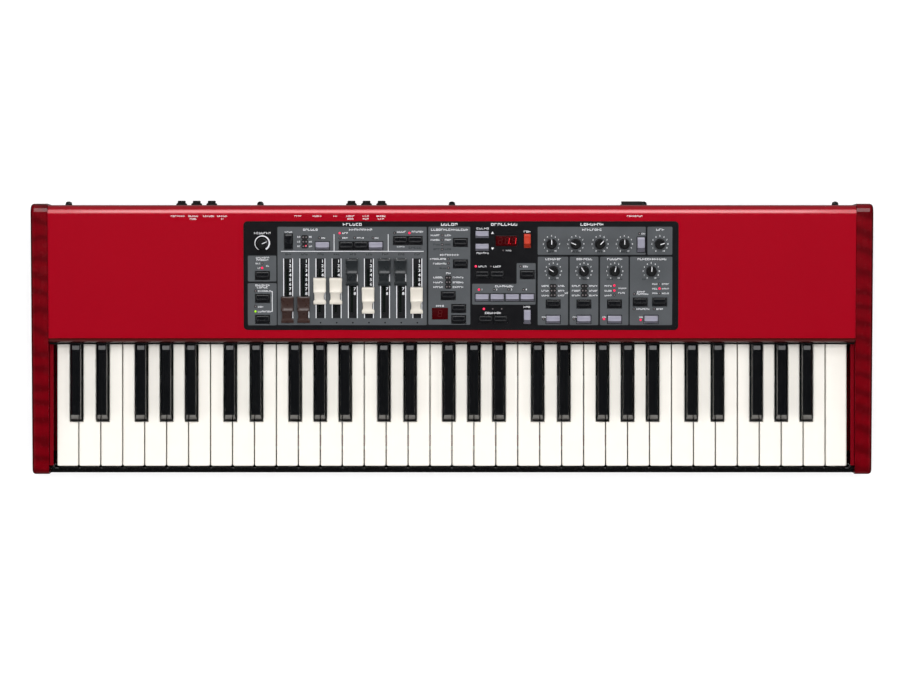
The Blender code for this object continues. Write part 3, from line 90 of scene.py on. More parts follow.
# Knobs: centre X, centre V, direction of the pointer clockwise from straight up the slope
KNOBS = {
    "master_level_knob": (-202.5, 100.2, 66), "treble_knob": (106.2, 99.4, 0), "mid_knob": (132.15, 99.4, -70),
    "mid_frequency_knob": (158.1, 99.4, 43), "bass_knob": (184.05, 99.4, 0), "gain_knob": (222.0, 99.4, 72),
    "effect_one_knob": (108.2, 70.4, -58), "effect_two_knob": (141.0, 70.4, -34),
    "compressor_knob": (173.8, 70.4, 12), "delay_knob": (212.9, 70.4, 3),
}
KNOB_SWEEP = 150
DRAWBAR_X = [-175.0 + 17.25 * index for index in range(9)]
DRAWBAR_HOME_V = 69.1
DRAWBAR_STEP = 5.0
REGISTRATION = (8, 8, 4, 4, 0, 6, 0, 0, 6)
DRAWBAR_COLOURS = ("brown", "brown", "cream", "cream", "black", "cream", "black", "black", "cream")
STEM_SHIFT = -1.0
DISPLAYS = [(58.0, 102.7, 22.5, 10.7), (-12.8, 24.8, 16.8, 12.2)]

# Printed fields and word marks of the fascia: first X, first V, last X, last V
FIELDS = [
    (-218.0, 59.2, -187.6, 86.9), (-218.2, 12.2, -187.4, 57.4), (-186.3, 12.4, -27.0, 117.7),
    (-25.2, 12.8, 19.6, 117.8), (91.5, 87.8, 206.8, 117.7), (208.7, 87.8, 235.3, 117.8), (91.7, 12.4, 124.1, 85.7),
    (125.9, 12.4, 156.4, 85.7), (158.3, 12.4, 188.7, 85.7), (190.1, 12.4, 235.4, 85.7)
]
PROGRAM_FIELD = [(21.6, 34.4), (89.4, 34.4), (89.4, 78.8), (69.1, 78.8), (69.1, 56.7), (21.6, 56.7)]
TITLE_MARKS = [
    (-116.9, 118.9, -96.2, 121.7), (-12.1, 118.9, 6.1, 121.7), (41.2, 118.9, 69.9, 121.7), (136.7, 118.9, 161.7, 121.7)
]
LIGHT_MARKS = [
    (-211.7, 109.9, -193.6, 112.1), (-159.4, 113.5, -143.4, 115.7), (-110.3, 113.5, -85.2, 115.7),
    (138.5, 113.5, 159.8, 115.7), (217.5, 113.5, 226.7, 115.7), (-22.8, 113.5, 17.0, 115.7), (-13.2, 86.6, 7.6, 88.7),
    (-6.7, 67.0, -1.4, 69.0), (-17.5, 32.0, -8.7, 34.0), (99.4, 82.1, 116.5, 84.2), (132.6, 82.1, 150.0, 84.2),
    (165.2, 82.1, 181.8, 84.2), (197.8, 82.1, 228.9, 84.2), (45.6, 53.1, 65.4, 55.1), (34.8, 24.4, 52.4, 26.5),
    (76.0, 30.9, 83.5, 32.8), (76.2, 111.5, 83.8, 113.5), (25.8, 114.9, 39.2, 116.9), (25.8, 88.7, 39.2, 90.6)
]
SMALL_MARKS = [
    (-178.9, 111.2, -170.7, 112.8), (-165.6, 106.2, -162.1, 107.8), (-165.6, 101, -162.2, 102.6),
    (-165.6, 96, -162.2, 97.6), (-153.1, 106.2, -149.6, 107.8), (-153.1, 101, -149.6, 102.6),
    (-153.1, 96, -149.6, 97.6), (-117.5, 110.1, -111.2, 111.9), (-117.5, 105, -111.6, 106.5),
    (-101.8, 105, -94.3, 106.5), (-59.1, 111.4, -49.2, 113.3), (-43.4, 111.5, -30.6, 113.3), (-59.1, 95.9, -51, 97.4),
    (-209.8, 83.8, -195.4, 85.5), (-209.2, 81.3, -196.2, 83), (-210.3, 77.8, -204.8, 79.2), (-208, 72.6, -204.6, 74.3),
    (-198.9, 75.1, -195.5, 76.7), (-210.6, 54.2, -194.9, 56.1), (-208.9, 51.9, -196.8, 53.8),
    (-207.8, 48.1, -193.7, 49.7), (-207.8, 31.3, -201.9, 32.8), (-207.9, 26.2, -193.7, 27.8),
    (-23.1, 107.8, -13.4, 109.5), (-23.1, 102.9, -13.4, 104.6), (-8, 107.8, -1.1, 109.5), (-8, 102.9, -1.1, 104.6),
    (-23.9, 82.5, -6.6, 84.2), (-20.6, 77.5, -6.2, 79.2), (-20.3, 62.7, -9.6, 64.4), (-20.3, 57.4, -9.6, 59.1),
    (-20.3, 52.3, -9.6, 54.1), (0.4, 62.7, 12, 64.4), (0.4, 57.4, 12, 59.1), (0.4, 52.3, 12, 54.1),
    (57.1, 91.5, 63.1, 93), (27.8, 74.3, 36.7, 76.1), (43.6, 74.3, 52.1, 76.1), (75.6, 74.3, 81.1, 76.1),
    (95.4, 53.6, 103.5, 55.3), (95.4, 48.4, 103.6, 50.1), (95.4, 43.4, 103.6, 45), (113, 53.6, 120.3, 55.3),
    (113, 48.4, 120.3, 50.1), (113, 43.4, 120.3, 45), (127.7, 53.6, 136.8, 55.3), (127.7, 48.4, 136.8, 50.1),
    (127.7, 43.4, 136.8, 45), (146.2, 53.6, 155.6, 55.3), (146.2, 48.4, 155.6, 50.1), (146.2, 43.4, 155.6, 45),
    (162.7, 53.6, 170.5, 55.3), (162.7, 48.4, 170.5, 50.1), (162.7, 43.4, 170.5, 45), (177.6, 51.1, 186.6, 52.8),
    (177.3, 46.1, 184.8, 47.8), (120.2, 45.9, 123.9, 47.8), (213.6, 55.6, 219.5, 57.2), (213.6, 50.6, 219.6, 52.2),
    (213.6, 45.7, 219.6, 47.3), (223.9, 55.6, 231.8, 57.2), (224, 50.6, 231.8, 52.2), (224, 45.7, 231.8, 47.3),
    (197.6, 47.3, 206.1, 48.9), (197, 45, 209.7, 46.5), (196.9, 28.8, 211, 30.5), (218.1, 28.8, 225.5, 30.5)
]
DARK_MARKS = [
    (-46.6, 94.3, -32.5, 96.5), (-13.7, 72.6, -6.2, 74.2), (-20.2, 97.9, -13, 99.6), (-20.2, 92.9, -13, 94.6),
    (-8, 97.9, -1.1, 99.6), (-8, 92.9, -1.1, 94.6), (102.2, 90, 109.3, 91.8), (128.1, 90, 135.9, 91.8),
    (154.7, 90, 161, 91.8), (180.2, 90, 187.8, 91.8), (104.9, 60.8, 111.2, 62.4), (138, 60.8, 145.4, 62.4),
    (165, 60.8, 172, 62.4), (176, 60.8, 182.2, 62.4), (203.1, 60.8, 207.3, 62.4), (217.5, 60.8, 222.2, 62.4)
]
PROGRAM_NUMERALS = [(32.1, 50.6), (47.7, 50.6), (63.7, 50.6), (79.4, 50.6)]
ON_LABELS = [
    (98.1, 21.0), (131.1, 21.0), (162.7, 21.0), (202.1, 21.0), (-137.6, 105.7), (-80.7, 105.7), (204.0, 110.3)
]
# First X, last X and half width of a second line
REAR_MARKS = [
    (-300.5, -285.4, 0), (-281.7, -271.2, 3.8), (-266.0, -254.0, 0), (-251.0, -239.7, 1.4), (-168.5, -160.7, 0),
    (-149.0, -139.3, 0), (-127.0, -122.8, 0), (-113.2, -104.1, 3.4), (-95.8, -88.8, 3.2), (-80.9, -71.3, 3.4),
    (186.2, 203.1, 0)
]
REAR_MARK_V = (125.3, 130.0)
RED_LAMPS = [
    (-202.8, 73.7), (-155.9, 97.2), (-119.8, 111.0), (-45.4, 111.1), (25.5, 75.4), (28.8, 50.5), (34.1, 29.8),
    (162.5, 19.0), (173.5, 54.9), (173.5, 49.5), (221.8, 51.6), (201.8, 18.0)
]
GREEN_LAMPS = [(-210.1, 27.1)]
DARK_LAMPS = [
    (-202.8, 78.8), (-210.0, 49.1), (-210.1, 32.4), (-141.7, 105.9), (-119.5, 105.7), (-104.0, 105.9), (-84.2, 105.9),
    (-61.3, 111.1), (-10.4, 108.8), (-10.4, 103.7), (-10.4, 98.8), (-10.4, 93.6), (-3.8, 83.5), (-3.8, 78.8),
    (-3.8, 73.6), (54.7, 92.5), (41.5, 75.4), (73.2, 75.4), (45.2, 50.5), (60.5, 50.5), (76.5, 50.5), (43.6, 29.8),
    (53.1, 29.8), (200.1, 110.5), (98.0, 19.0), (130.6, 19.0), (173.5, 44.6), (221.7, 56.5), (221.8, 46.5),
    (194.9, 45.9), (194.7, 29.8), (216.2, 29.8)
]
LAMP_BLOCKS = [
    (-160.9, 94.5, -153.5, 109.0), (-7.6, 51.2, -0.4, 65.7), (104.2, 42.1, 111.9, 56.7), (137.7, 42.1, 145.2, 56.7)
]

# Side view of a cheek as (Y, Z) corners, the round at each corner, and the X of both faces
CHEEK_CORNERS = [(-145.0, 7.0), (142.2, 7.0), (142.2, 98.91), (-147.5, 73.57)]
CHEEK_ROUNDS = [5.0, 5.0, 10.0, 5.0]
CHEEK_X = (432.0, 450.0)
CHEEK_EDGE = 4.0
# Bends of the top panel: centre Y, centre Z, radius, first and last tilt in degrees
REAR_BEND = (130.7, 86.47, 10.0, -5.0, 90.0)
LIP_BEND = (-1.1, 79.96, 5.0, -90.0, -5.0)
# Black keys of an octave, from the left end of their comb
SHARP_X = (20.54, 48.61, 90.2, 117.07, 143.94)

# Heights of the print and of the lamps over the fascia
FIELD_H = 0.02
RULE_H = 0.05
LAMP_H = 0.45
# Dark bands of the drawbars and slots under them: first V, last V, half width
BAND = (19.9, 83.8, 4.3)
SLOT = (25.7, 72.5, 1.2)
# Strokes of the word marks: width, pitch, gap and levels of the crossbars as shares of their height,
# the chance of a second upright, and how far all of them move to the right
WORD_STROKE = 0.22
WORD_PITCH = 1.22
WORD_GAP = 0.3
WORD_LEVELS = ((0.76,), (0.0,), (0.38,), (0.0, 0.76))
WORD_CHANCE = 0.6
WORD_SHIFT = 0.5
# Heights of the printed numerals, and their width and weight
SCALE_NUMERAL = 1.7
PROGRAM_NUMERAL = 1.9
GLYPH_WIDTH = 1.15
GLYPH_WEIGHT = 0.012


def linear(code):
    """Scene colour of a six-digit display colour."""
    values = [int(code[index:index + 2], 16) / 255 for index in (0, 2, 4)]
    return tuple(value / 12.92 if value <= 0.04045 else ((value + 0.055) / 1.055) ** 2.4 for value in values)


def shade(colour, factor):
    return tuple(min(1.0, value * factor) for value in colour)


# Meshes

def piece(name, mesh, body=CASE, slot=None, replaced=None):
    """A finished piece that rides on a body and may stand for a solid."""
    made = bpy.data.objects.new(name, mesh)
    bpy.context.scene.collection.objects.link(made)
    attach(made, body)
    if replaced:
        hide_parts(replaced)
    return made


class Form:
    """Points and faces of one piece, in the millimetres of a chosen place."""

    def __init__(self, place=PANEL):
        self.place = place
        self.points = []
        self.faces = []
        self.marks = []

    def add(self, points, faces, mark=0):
        start = len(self.points)
        self.points += [self.place @ Vector(point) for point in points]
        self.faces += [tuple(start + index for index in face) for face in faces]
        self.marks += [mark] * len(faces)

    def loft(self, rings, mark=0, capped=True):
        count = len(rings[0])
        faces = [(level * count + index, level * count + (index + 1) % count,
                  (level + 1) * count + (index + 1) % count, (level + 1) * count + index)
                 for level in range(len(rings) - 1) for index in range(count)]
        if capped:
            faces.append(tuple(reversed(range(count))))
            faces.append(tuple(range((len(rings) - 1) * count, len(rings) * count)))
        self.add([point for ring in rings for point in ring], faces, mark)

    def prism(self, outline, low, high, mark=0):
        self.loft([[(x, y, low) for x, y in outline], [(x, y, high) for x, y in outline]], mark)

    def patch(self, outline, height, mark=0):
        """A printed flat face, seen from above."""
        self.add([(x, y, height) for x, y in outline], [tuple(range(len(outline)))], mark)

    def bar(self, x0, v0, x1, v1, height, mark=0):
        self.patch(rectangle(x0, v0, x1, v1), height, mark)

    def grid(self, rows, mark=0):
        """A sheet through rows of points of equal length."""
        width = len(rows[0])
        faces = [(row * width + index, row * width + index + 1, (row + 1) * width + index + 1,
                  (row + 1) * width + index) for row in range(len(rows) - 1) for index in range(width - 1)]
        self.add([point for row in rows for point in row], faces, mark)

    def mesh(self, name, looks, angle=None, closed=False):
        made = bpy.data.meshes.new(name)
        made.from_pydata(self.points, [], self.faces)
        for look in looks:
            made.materials.append(KIT.get(look))
        made.polygons.foreach_set("material_index", self.marks)
        if closed:
            work = bmesh.new()
            work.from_mesh(made)
            bmesh.ops.remove_doubles(work, verts=work.verts, dist=1e-7)
            bmesh.ops.recalc_face_normals(work, faces=work.faces)
            work.to_mesh(made)
            work.free()
        if angle is not None:
            made.shade_smooth()
            made.set_sharp_from_angle(angle=math.radians(angle))
        return made

    def make(self, name, looks, angle=None, closed=False, **place):
        """The piece of this form; place holds its body, its slot, which is not used, and the solid it stands for."""
        return piece(name, self.mesh(name, looks, angle, closed), **place)


def rectangle(x0, v0, x1, v1):
    return [(x0, v0), (x1, v0), (x1, v1), (x0, v1)]


def circle(x, v, radius, sides=16):
    return [(x + radius * math.cos(2 * math.pi * index / sides), v + radius * math.sin(2 * math.pi * index / sides))
            for index in range(sides)]


def rounded(x, v, width, depth, radius, steps=3):
    """Outline of a rectangle with round corners."""
    outline = []
    for corner, (side_x, side_v) in enumerate(((1, 1), (-1, 1), (-1, -1), (1, -1))):
        for step in range(steps + 1):
            angle = math.pi / 2 * (corner + step / steps)
            outline.append((x + side_x * (width / 2 - radius) + radius * math.cos(angle),
                            v + side_v * (depth / 2 - radius) + radius * math.sin(angle)))
    return outline


def softened(points, radius, steps=2):
    """Outline through right-angled corners, each with a small arc."""
    outline = []
    for index, point in enumerate(points):
        corner = Vector(point)
        before = (Vector(points[index - 1]) - corner).normalized() * radius
        after = (Vector(points[(index + 1) % len(points)]) - corner).normalized() * radius
        middle = corner + before + after
        for step in range(steps + 1):
            angle = math.pi / 2 * step / steps
            outline.append(tuple(middle - after * math.cos(angle) - before * math.sin(angle)))
    return outline


def filleted(corners, rounds, depth, steps):
    """Convex outline moved in by a depth, with an arc at each corner."""
    outline = []
    for index, radius in enumerate(rounds):
        before, here, after = (Vector(corners[(index + shift) % len(corners)]) for shift in (-1, 0, 1))
        first, second = (here - before).normalized(), (after - here).normalized()
        inward = Vector((-first.y - second.y, first.x + second.x)) / (1 + first.dot(second))
        centre = here + inward * radius
        start = math.atan2(-first.x, first.y)
        turn = math.acos(max(-1.0, min(1.0, first.dot(second))))
        for step in range(steps + 1):
            angle = start + turn * step / steps
            outline.append((centre.x + (radius - depth) * math.cos(angle),
                            centre.y + (radius - depth) * math.sin(angle)))
    return outline


def evaluated_mesh(thing):
    """Plain mesh of an object after its modifiers; the object is removed."""
    graph = bpy.context.evaluated_depsgraph_get()
    made = bpy.data.meshes.new_from_object(thing.evaluated_get(graph), depsgraph=graph)
    bpy.data.objects.remove(thing, do_unlink=True)
    return made


class Numerals:
    """Flat glyphs of plain numbers and of ON, kept for use again."""

    def __init__(self):
        self.kept = {}

    def glyph(self, text):
        if text not in self.kept:
            curve = bpy.data.curves.new("glyph", "FONT")
            curve.body = text
            curve.resolution_u = 2
            curve.offset = GLYPH_WEIGHT
            holder = bpy.data.objects.new("glyph", curve)
            bpy.context.scene.collection.objects.link(holder)
            mesh = evaluated_mesh(holder)
            corners = [vertex.co.copy() for vertex in mesh.vertices]
            low, high = ([pick(point[axis] for point in corners) for axis in (0, 1)] for pick in (min, max))
            tall = high[1] - low[1]
            points = [((point.x - (low[0] + high[0]) / 2) / tall * GLYPH_WIDTH,
                       (point.y - (low[1] + high[1]) / 2) / tall) for point in corners]
            self.kept[text] = (points, [tuple(face.vertices) for face in mesh.polygons])
        return self.kept[text]

    def write(self, form, text, x, v, height):
        points, faces = self.glyph(text)
        form.add([(x + px * height, v + py * height, RULE_H) for px, py in points], faces)


def word_marks(form, x0, v0, x1, v1, dice, mark=0):
    """A row of small abstract strokes in the place of a word."""
    x0, x1 = x0 + WORD_SHIFT, x1 + WORD_SHIFT
    tall = v1 - v0
    stroke = tall * WORD_STROKE
    count = max(1, round((x1 - x0) / (tall * WORD_PITCH)))
    pitch = (x1 - x0) / count
    width = pitch - tall * WORD_GAP
    for index in range(count):
        x = x0 + pitch * index
        form.bar(x, v0, x + stroke, v1, RULE_H, mark)
        for level in dice.choice(WORD_LEVELS):
            form.bar(x + stroke, v0 + tall * level, x + width, v0 + tall * level + stroke, RULE_H, mark)
        if dice.random() < WORD_CHANCE:
            form.bar(x + width - stroke, v0 + stroke, x + width, v1 - stroke, RULE_H, mark)


# Materials

class Tree:
    """Node tree, with helpers that add nodes and fill their inputs."""

    def __init__(self, tree):
        self.tree = tree

    def feed(self, node, values):
        """Set inputs, given by name or number, or link them to outputs."""
        for key, value in values.items():
            if isinstance(value, bpy.types.NodeSocket):
                self.tree.links.new(value, node.inputs[key])
            else:
                node.inputs[key].default_value = value
        return node

    def node(self, kind, values=None, **settings):
        made = self.tree.nodes.new(kind)
        for key, value in settings.items():
            setattr(made, key, value)
        return self.feed(made, values or {})

    def math(self, operation, *values):
        return self.node("ShaderNodeMath", dict(enumerate(values)), operation=operation).outputs["Value"]

    def ramp(self, source, stops):
        """Colour stops as (position, colour)."""
        made = self.node("ShaderNodeValToRGB", {"Fac": source})
        band = made.color_ramp.elements
        while len(band) < len(stops):
            band.new(0.5)
        for element, (position, colour) in zip(band, stops):
            element.position = position
            element.color = (*colour, 1.0)
        return made.outputs["Color"]


class Finish(Tree):
    """One material, with its shader and the patterns that lie on a piece."""

    def __init__(self, name):
        self.material = bpy.data.materials.new(name)
        self.material.use_nodes = True
        super().__init__(self.material.node_tree)
        self.shader = self.tree.nodes["Principled BSDF"]
        self.place = self.node("ShaderNodeTexCoord").outputs["Object"]

    def surface(self, **values):
        """Fill the shader's inputs; an underscore stands for a space."""
        self.feed(self.shader, {key.replace("_", " "): value for key, value in values.items()})

    def mapped(self, **values):
        return self.node("ShaderNodeMapping", {"Vector": self.place, **values}).outputs["Vector"]

    def noise(self, scale, detail=3.0, rough=0.5, distortion=0.0, stretch=(1.0, 1.0, 1.0)):
        return self.node("ShaderNodeTexNoise", {
            "Vector": self.mapped(Scale=stretch), "Scale": scale, "Detail": detail, "Roughness": rough,
            "Distortion": distortion}).outputs["Fac"]

    def spread(self, source, low, high):
        """The middle of a noise's range, stretched from low to high."""
        return self.node("ShaderNodeMapRange", {
            "Value": source, "From Min": 0.3, "From Max": 0.7, "To Min": low, "To Max": high}).outputs["Result"]

    def mix(self, factor, first, second):
        """Colour between two, each a colour or an output."""
        first, second = (value if isinstance(value, bpy.types.NodeSocket) else (*value, 1.0)
                         for value in (first, second))
        return self.node("ShaderNodeMix", {"Factor": factor, 6: first, 7: second}, data_type="RGBA").outputs[2]

    def bump(self, source, strength, distance):
        made = self.node("ShaderNodeBump", {"Strength": strength, "Distance": distance, "Height": source})
        self.surface(Normal=made.outputs["Normal"])

    def along(self, axis):
        return self.node("ShaderNodeSeparateXYZ", {"Vector": self.place}).outputs[axis]

    def above(self, axis, limit, both=False):
        """One where the place along an axis passes a limit, on both sides if asked, else nothing."""
        place = self.math("ABSOLUTE", self.along(axis)) if both else self.along(axis)
        return self.math("GREATER_THAN", place, limit)


def moulded(name, colour, roughness, grain, bump, coat=0.0, tint=0.06, metallic=0.0):
    """Plastic, rubber, felt or metal with a fine grain, uneven sheen and slight changes of tone."""
    finish = Finish(name)
    vary = min(0.06, roughness / 3)
    tones = [(0.3, shade(colour, 1 - tint)), (0.7, shade(colour, 1 + tint))]
    finish.surface(Metallic=metallic, Coat_Weight=coat, Coat_Roughness=0.08, Specular_IOR_Level=0.25,
                   Base_Color=finish.ramp(finish.noise(55.0, 4.0), tones),
                   Roughness=finish.spread(finish.noise(160.0, 5.0, 0.6), roughness - vary, roughness + vary))
    finish.bump(finish.noise(grain, 2.0), bump, 0.00006)
    return finish.material


def tilted(name, colour):
    """Glossy plastic whose sheen falls away towards the rear."""
    finish = Finish(name)
    finish.surface(Specular_IOR_Level=0.35,
                   Base_Color=finish.ramp(finish.noise(60.0), [(0.3, shade(colour, 0.9)), (0.7, colour)]),
                   Roughness=finish.spread(finish.noise(200.0), 0.16, 0.22))
    finish.bump(finish.math("MULTIPLY", finish.along("Y"), -0.3), 1.0, 1.0)
    return finish.material


def case_paint(name, colour, coat=1.3, fitting_or_shade_colour=None, axis=None, limit=None):
    """Satin paint with a fine sparkle and orange peel; an axis and a limit set off another colour: fittings on the top
    panel, and on the base pan a darker red that is painted shade.
    """
    finish = Finish(name)
    speck = finish.ramp(finish.noise(3800.0, 2.0), [(0.35, shade(colour, 0.9)), (0.68, shade(colour, 1.12))])
    tone = finish.mix(finish.spread(finish.noise(9.0, 3.0), 0.0, 0.25), speck, shade(colour, 0.88))
    if fitting_or_shade_colour:
        tone = finish.mix(finish.above(axis, limit), tone, fitting_or_shade_colour)
    finish.surface(Metallic=0.25, Coat_Weight=1.0, Coat_Roughness=0.07, Coat_IOR=coat, Specular_IOR_Level=0.05,
                   Base_Color=tone, Roughness=finish.spread(finish.noise(220.0, 4.0), 0.3, 0.4))
    finish.bump(finish.noise(1500.0, 3.0), 0.05, 0.00005)
    return finish.material


def cheek_lacquer(name, colour, shaded_rim=True):
    """Clear red lacquer over flowing grain with small dark pores, with no coat and a painted shade along the outer
    edge.
    """
    finish = Finish(name)
    wave = finish.node("ShaderNodeTexWave", {
        "Vector": finish.mapped(Scale=(0.9, 1.0, 0.8), Rotation=(0.0, 0.0, 0.25)), "Scale": 17.0, "Distortion": 5.0,
        "Detail": 3.0, "Detail Scale": 1.4}, wave_type="BANDS", bands_direction="Y")
    flow = finish.ramp(wave.outputs["Fac"], [(0.05, shade(colour, 0.6)), (0.45, colour), (0.95, shade(colour, 1.2))])
    long_grain = finish.noise(170.0, 3.0, 0.6, 0.3, (4.0, 0.12, 4.0))
    cross_grain = finish.noise(150.0, 3.0, 0.6, 0.2, (0.3, 3.0, 0.3))
    tone = finish.mix(finish.spread(long_grain, 0.0, 0.45), flow, shade(colour, 0.55))
    tone = finish.mix(finish.spread(cross_grain, 0.0, 0.3), tone, shade(colour, 0.6))
    coat = 0.9
    if shaded_rim:
        # Outer round: the coat is left off, and the tone there is darkened as painted shade
        dull, painted_edge_shade = (finish.above("X", (CHEEK_X[1] - inset) * MM, both=True) for inset in (3.7, 1.9))
        coat = finish.math("MULTIPLY_ADD", dull, -coat, coat)
        tone = finish.mix(painted_edge_shade, tone, shade(colour, 0.35))
    finish.surface(Specular_IOR_Level=0.05, Coat_Weight=coat, Coat_Roughness=0.05, Base_Color=tone,
                   Roughness=finish.spread(finish.noise(90.0, 3.0), 0.2, 0.3))
    finish.bump(finish.noise(420.0, 2.0, 0.5, 0.0, (2.0, 0.3, 2.0)), 0.02, 0.00005)
    return finish.material


def lamp_lens(name, colour, strength):
    """Small lens that glows in a slightly uneven tone."""
    finish = Finish(name)
    tone = finish.ramp(finish.noise(900.0, 2.0), [(0.3, shade(colour, 0.85)), (0.7, colour)])
    finish.surface(Roughness=0.2, Coat_Weight=0.5, Base_Color=tone, Emission_Color=tone, Emission_Strength=strength)
    return finish.material


# Settings

def colour_setting(name, description, code):
    return bpy.props.FloatVectorProperty(name=name, description=description, subtype="COLOR", size=3, min=0.0,
                                         max=1.0, default=linear(code))


def length_setting(name, description, default):
    return bpy.props.FloatProperty(name=name, description=description, default=default, min=0.0, unit="LENGTH")


def power_setting(name, lamp, default):
    return bpy.props.FloatProperty(name=name, description=f"Power of {lamp} in watts", default=default, min=0.0)


class CaseSettings(bpy.types.PropertyGroup):
    """Colours of the case and of the keys."""
    paint: colour_setting("Case Paint", "Satin paint of the metal case", "A3021A")
    lacquer: colour_setting("Cheek Lacquer", "Lacquer of the wooden cheeks", "72000C")
    slip: colour_setting("Front Slip", "Paint of the strip in front of the keys", "0A0A0B")
    naturals: colour_setting("White Keys", "Plastic of the white keys", "FAF5EC")
    sharps: colour_setting("Black Keys", "Plastic of the black keys", "0C0D0F")


class PanelSettings(bpy.types.PropertyGroup):
    """Colours and sizes of the control panel."""
    film: colour_setting("Fascia Film", "Base colour of the fascia", "0E0E11")
    field: colour_setting("Printed Fields", "Grey of the printed fields", "4D5053")
    print_light: colour_setting("Light Print", "Light marks and numerals", "E9E9EC")
    cap_black: colour_setting("Black Caps", "Plastic of the black button caps", "101114")
    cap_grey: colour_setting("Grey Caps", "Plastic of the grey button caps", "92909E")
    cap_store: colour_setting("Store Cap", "Plastic of the store button cap", "B8331A")
    lens_radius: length_setting("Lens Radius", "Radius of a panel lamp", 0.00115)
    numeral_height: length_setting("Numeral Height", "Height of the drawbar numerals", 0.0032)


class StudioSettings(bpy.types.PropertyGroup):
    """Camera and light levels."""
    camera_height: length_setting("Camera Height", "Height of the camera above the floor", 5.0)
    lens: bpy.props.FloatProperty(name="Lens", description="Focal length in millimetres", default=183.8)
    key_power: power_setting("Side Lamps", "each side lamp", 24.0)
    rear_power: power_setting("Rear Lamp", "the rear lamp", 31.0)
    fill_power: power_setting("Rear Fill", "the soft fill", 14.0)
    top_power: power_setting("Top Lamp", "the soft lamp overhead", 80.0)


class Kit:
    """Materials that several pieces share, made once for each run."""

    def __init__(self):
        self.made = {}
        self.numerals = Numerals()

    def get(self, name):
        if name not in self.made:
            self.made[name] = self.build(name)
        return self.made[name]

    def build(self, name):
        scene = bpy.context.scene
        case, panel = scene.keyboard_case, scene.keyboard_panel
        # Colour, roughness, grain, depth of the grain, coat, change of tone, metal
        plastics = {
            "slip": (case.slip, 0.25, 1800.0, 0.08, 0.4),
            "white_key": (case.naturals, 0.2, 1200.0, 0.03, 0.6, 0.012),
            "black_key": (case.sharps, 0.2, 2600.0, 0.05, 0.8),
            "film": (panel.film, 0.35, 2400.0, 0.06),
            "field": (panel.field, 0.4, 2400.0, 0.05),
            "light_print": (panel.print_light, 0.6, 2000.0, 0.05),
            "dark_print": (linear("101013"), 0.5, 2000.0, 0.05),
            "cap_black": (panel.cap_black, 0.25, 2600.0, 0.05, 0.3),
            "cap_grey": (panel.cap_grey, 0.35, 2600.0, 0.06, 0.4),
            "cap_red": (panel.cap_store, 0.4, 2600.0, 0.1),
            # Front lips of the caps, darker than the caps: painted shade on faces turned away from the light
            "black_lip": (shade(panel.cap_black, 0.8), 0.45, 2600.0, 0.05),
            "grey_lip": (shade(panel.cap_grey, 0.35), 0.4, 2600.0, 0.06),
            "store_lip": (shade(panel.cap_store, 0.55), 0.4, 2600.0, 0.06),
            "knob": (linear("0E0F10"), 0.42, 3000.0, 0.2),
            "drawbar_brown": (linear("3A2A26"), 0.3, 2000.0, 0.06, 0.25, 0.03),
            "drawbar_cream": (linear("DFD8CC"), 0.3, 2000.0, 0.05, 0.3, 0.015),
            "drawbar_black": (linear("25282A"), 0.3, 2000.0, 0.06, 0.25, 0.03),
            "socket": (linear("141414"), 0.42, 2400.0, 0.12),
            "rubber": (linear("1B1B1C"), 0.8, 900.0, 0.4),
            "felt": (linear("7E1A22"), 0.95, 700.0, 0.9),
            "board": (linear("0B1710"), 0.45, 1600.0, 0.1),
            "lamp_frame": (linear("161617"), 0.5, 2000.0, 0.1),
            "glass": (linear("3C0205"), 0.15, 400.0, 0.02, 0.6),
            "dark_lens": (linear("7C7274"), 0.3, 900.0, 0.05, 0.5),
            "dim_bar": (linear("4A0306"), 0.3, 900.0, 0.05),
            "steel": (linear("9A9CA0"), 0.38, 1400.0, 0.2, 0.0, 0.06, 0.9),
            "bright_steel": (linear("C4C5C8"), 0.25, 1400.0, 0.12, 0.0, 0.06, 1.0),
        }
        if name in plastics:
            return moulded(name, *plastics[name])
        screw_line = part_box("socket_board")[1].y - 0.0062
        makers = {
            "case_paint": (case_paint, case.paint, 1.3, linear("0B0B0C"), "Y", screw_line),
            # Base pan: dark feet below 6.9 mm, and above them the case paint darkened to six tenths as painted shade
            "pan_paint": (case_paint, linear("19191B"), 1.3, shade(case.paint, 0.6), "Z", 0.0069),
            "bend_paint": (case_paint, case.paint, 1.6),
            # Front bend of the top panel in a dark brown red: painted shade on a face turned away from the light
            "lip_paint": (case_paint, linear("560F0D"), 1.9),
            "key_heel": (tilted, case.sharps),
            "cheek_lacquer": (cheek_lacquer, case.lacquer),
            "cheek_side": (cheek_lacquer, case.lacquer, False),
            "lit_red": (lamp_lens, linear("E8204E"), 0.9),
            "lit_digit": (lamp_lens, linear("E01C26"), 0.8),
            "lit_green": (lamp_lens, linear("8CC81E"), 0.7),
        }
        maker, *values = makers[name]
        return maker(name, *values)


KIT = Kit()


def dress(node, name):
    """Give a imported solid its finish."""
    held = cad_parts[node]
    held.data.materials.clear()
    held.data.materials.append(KIT.get(name))


# Repeated parts made with geometry nodes

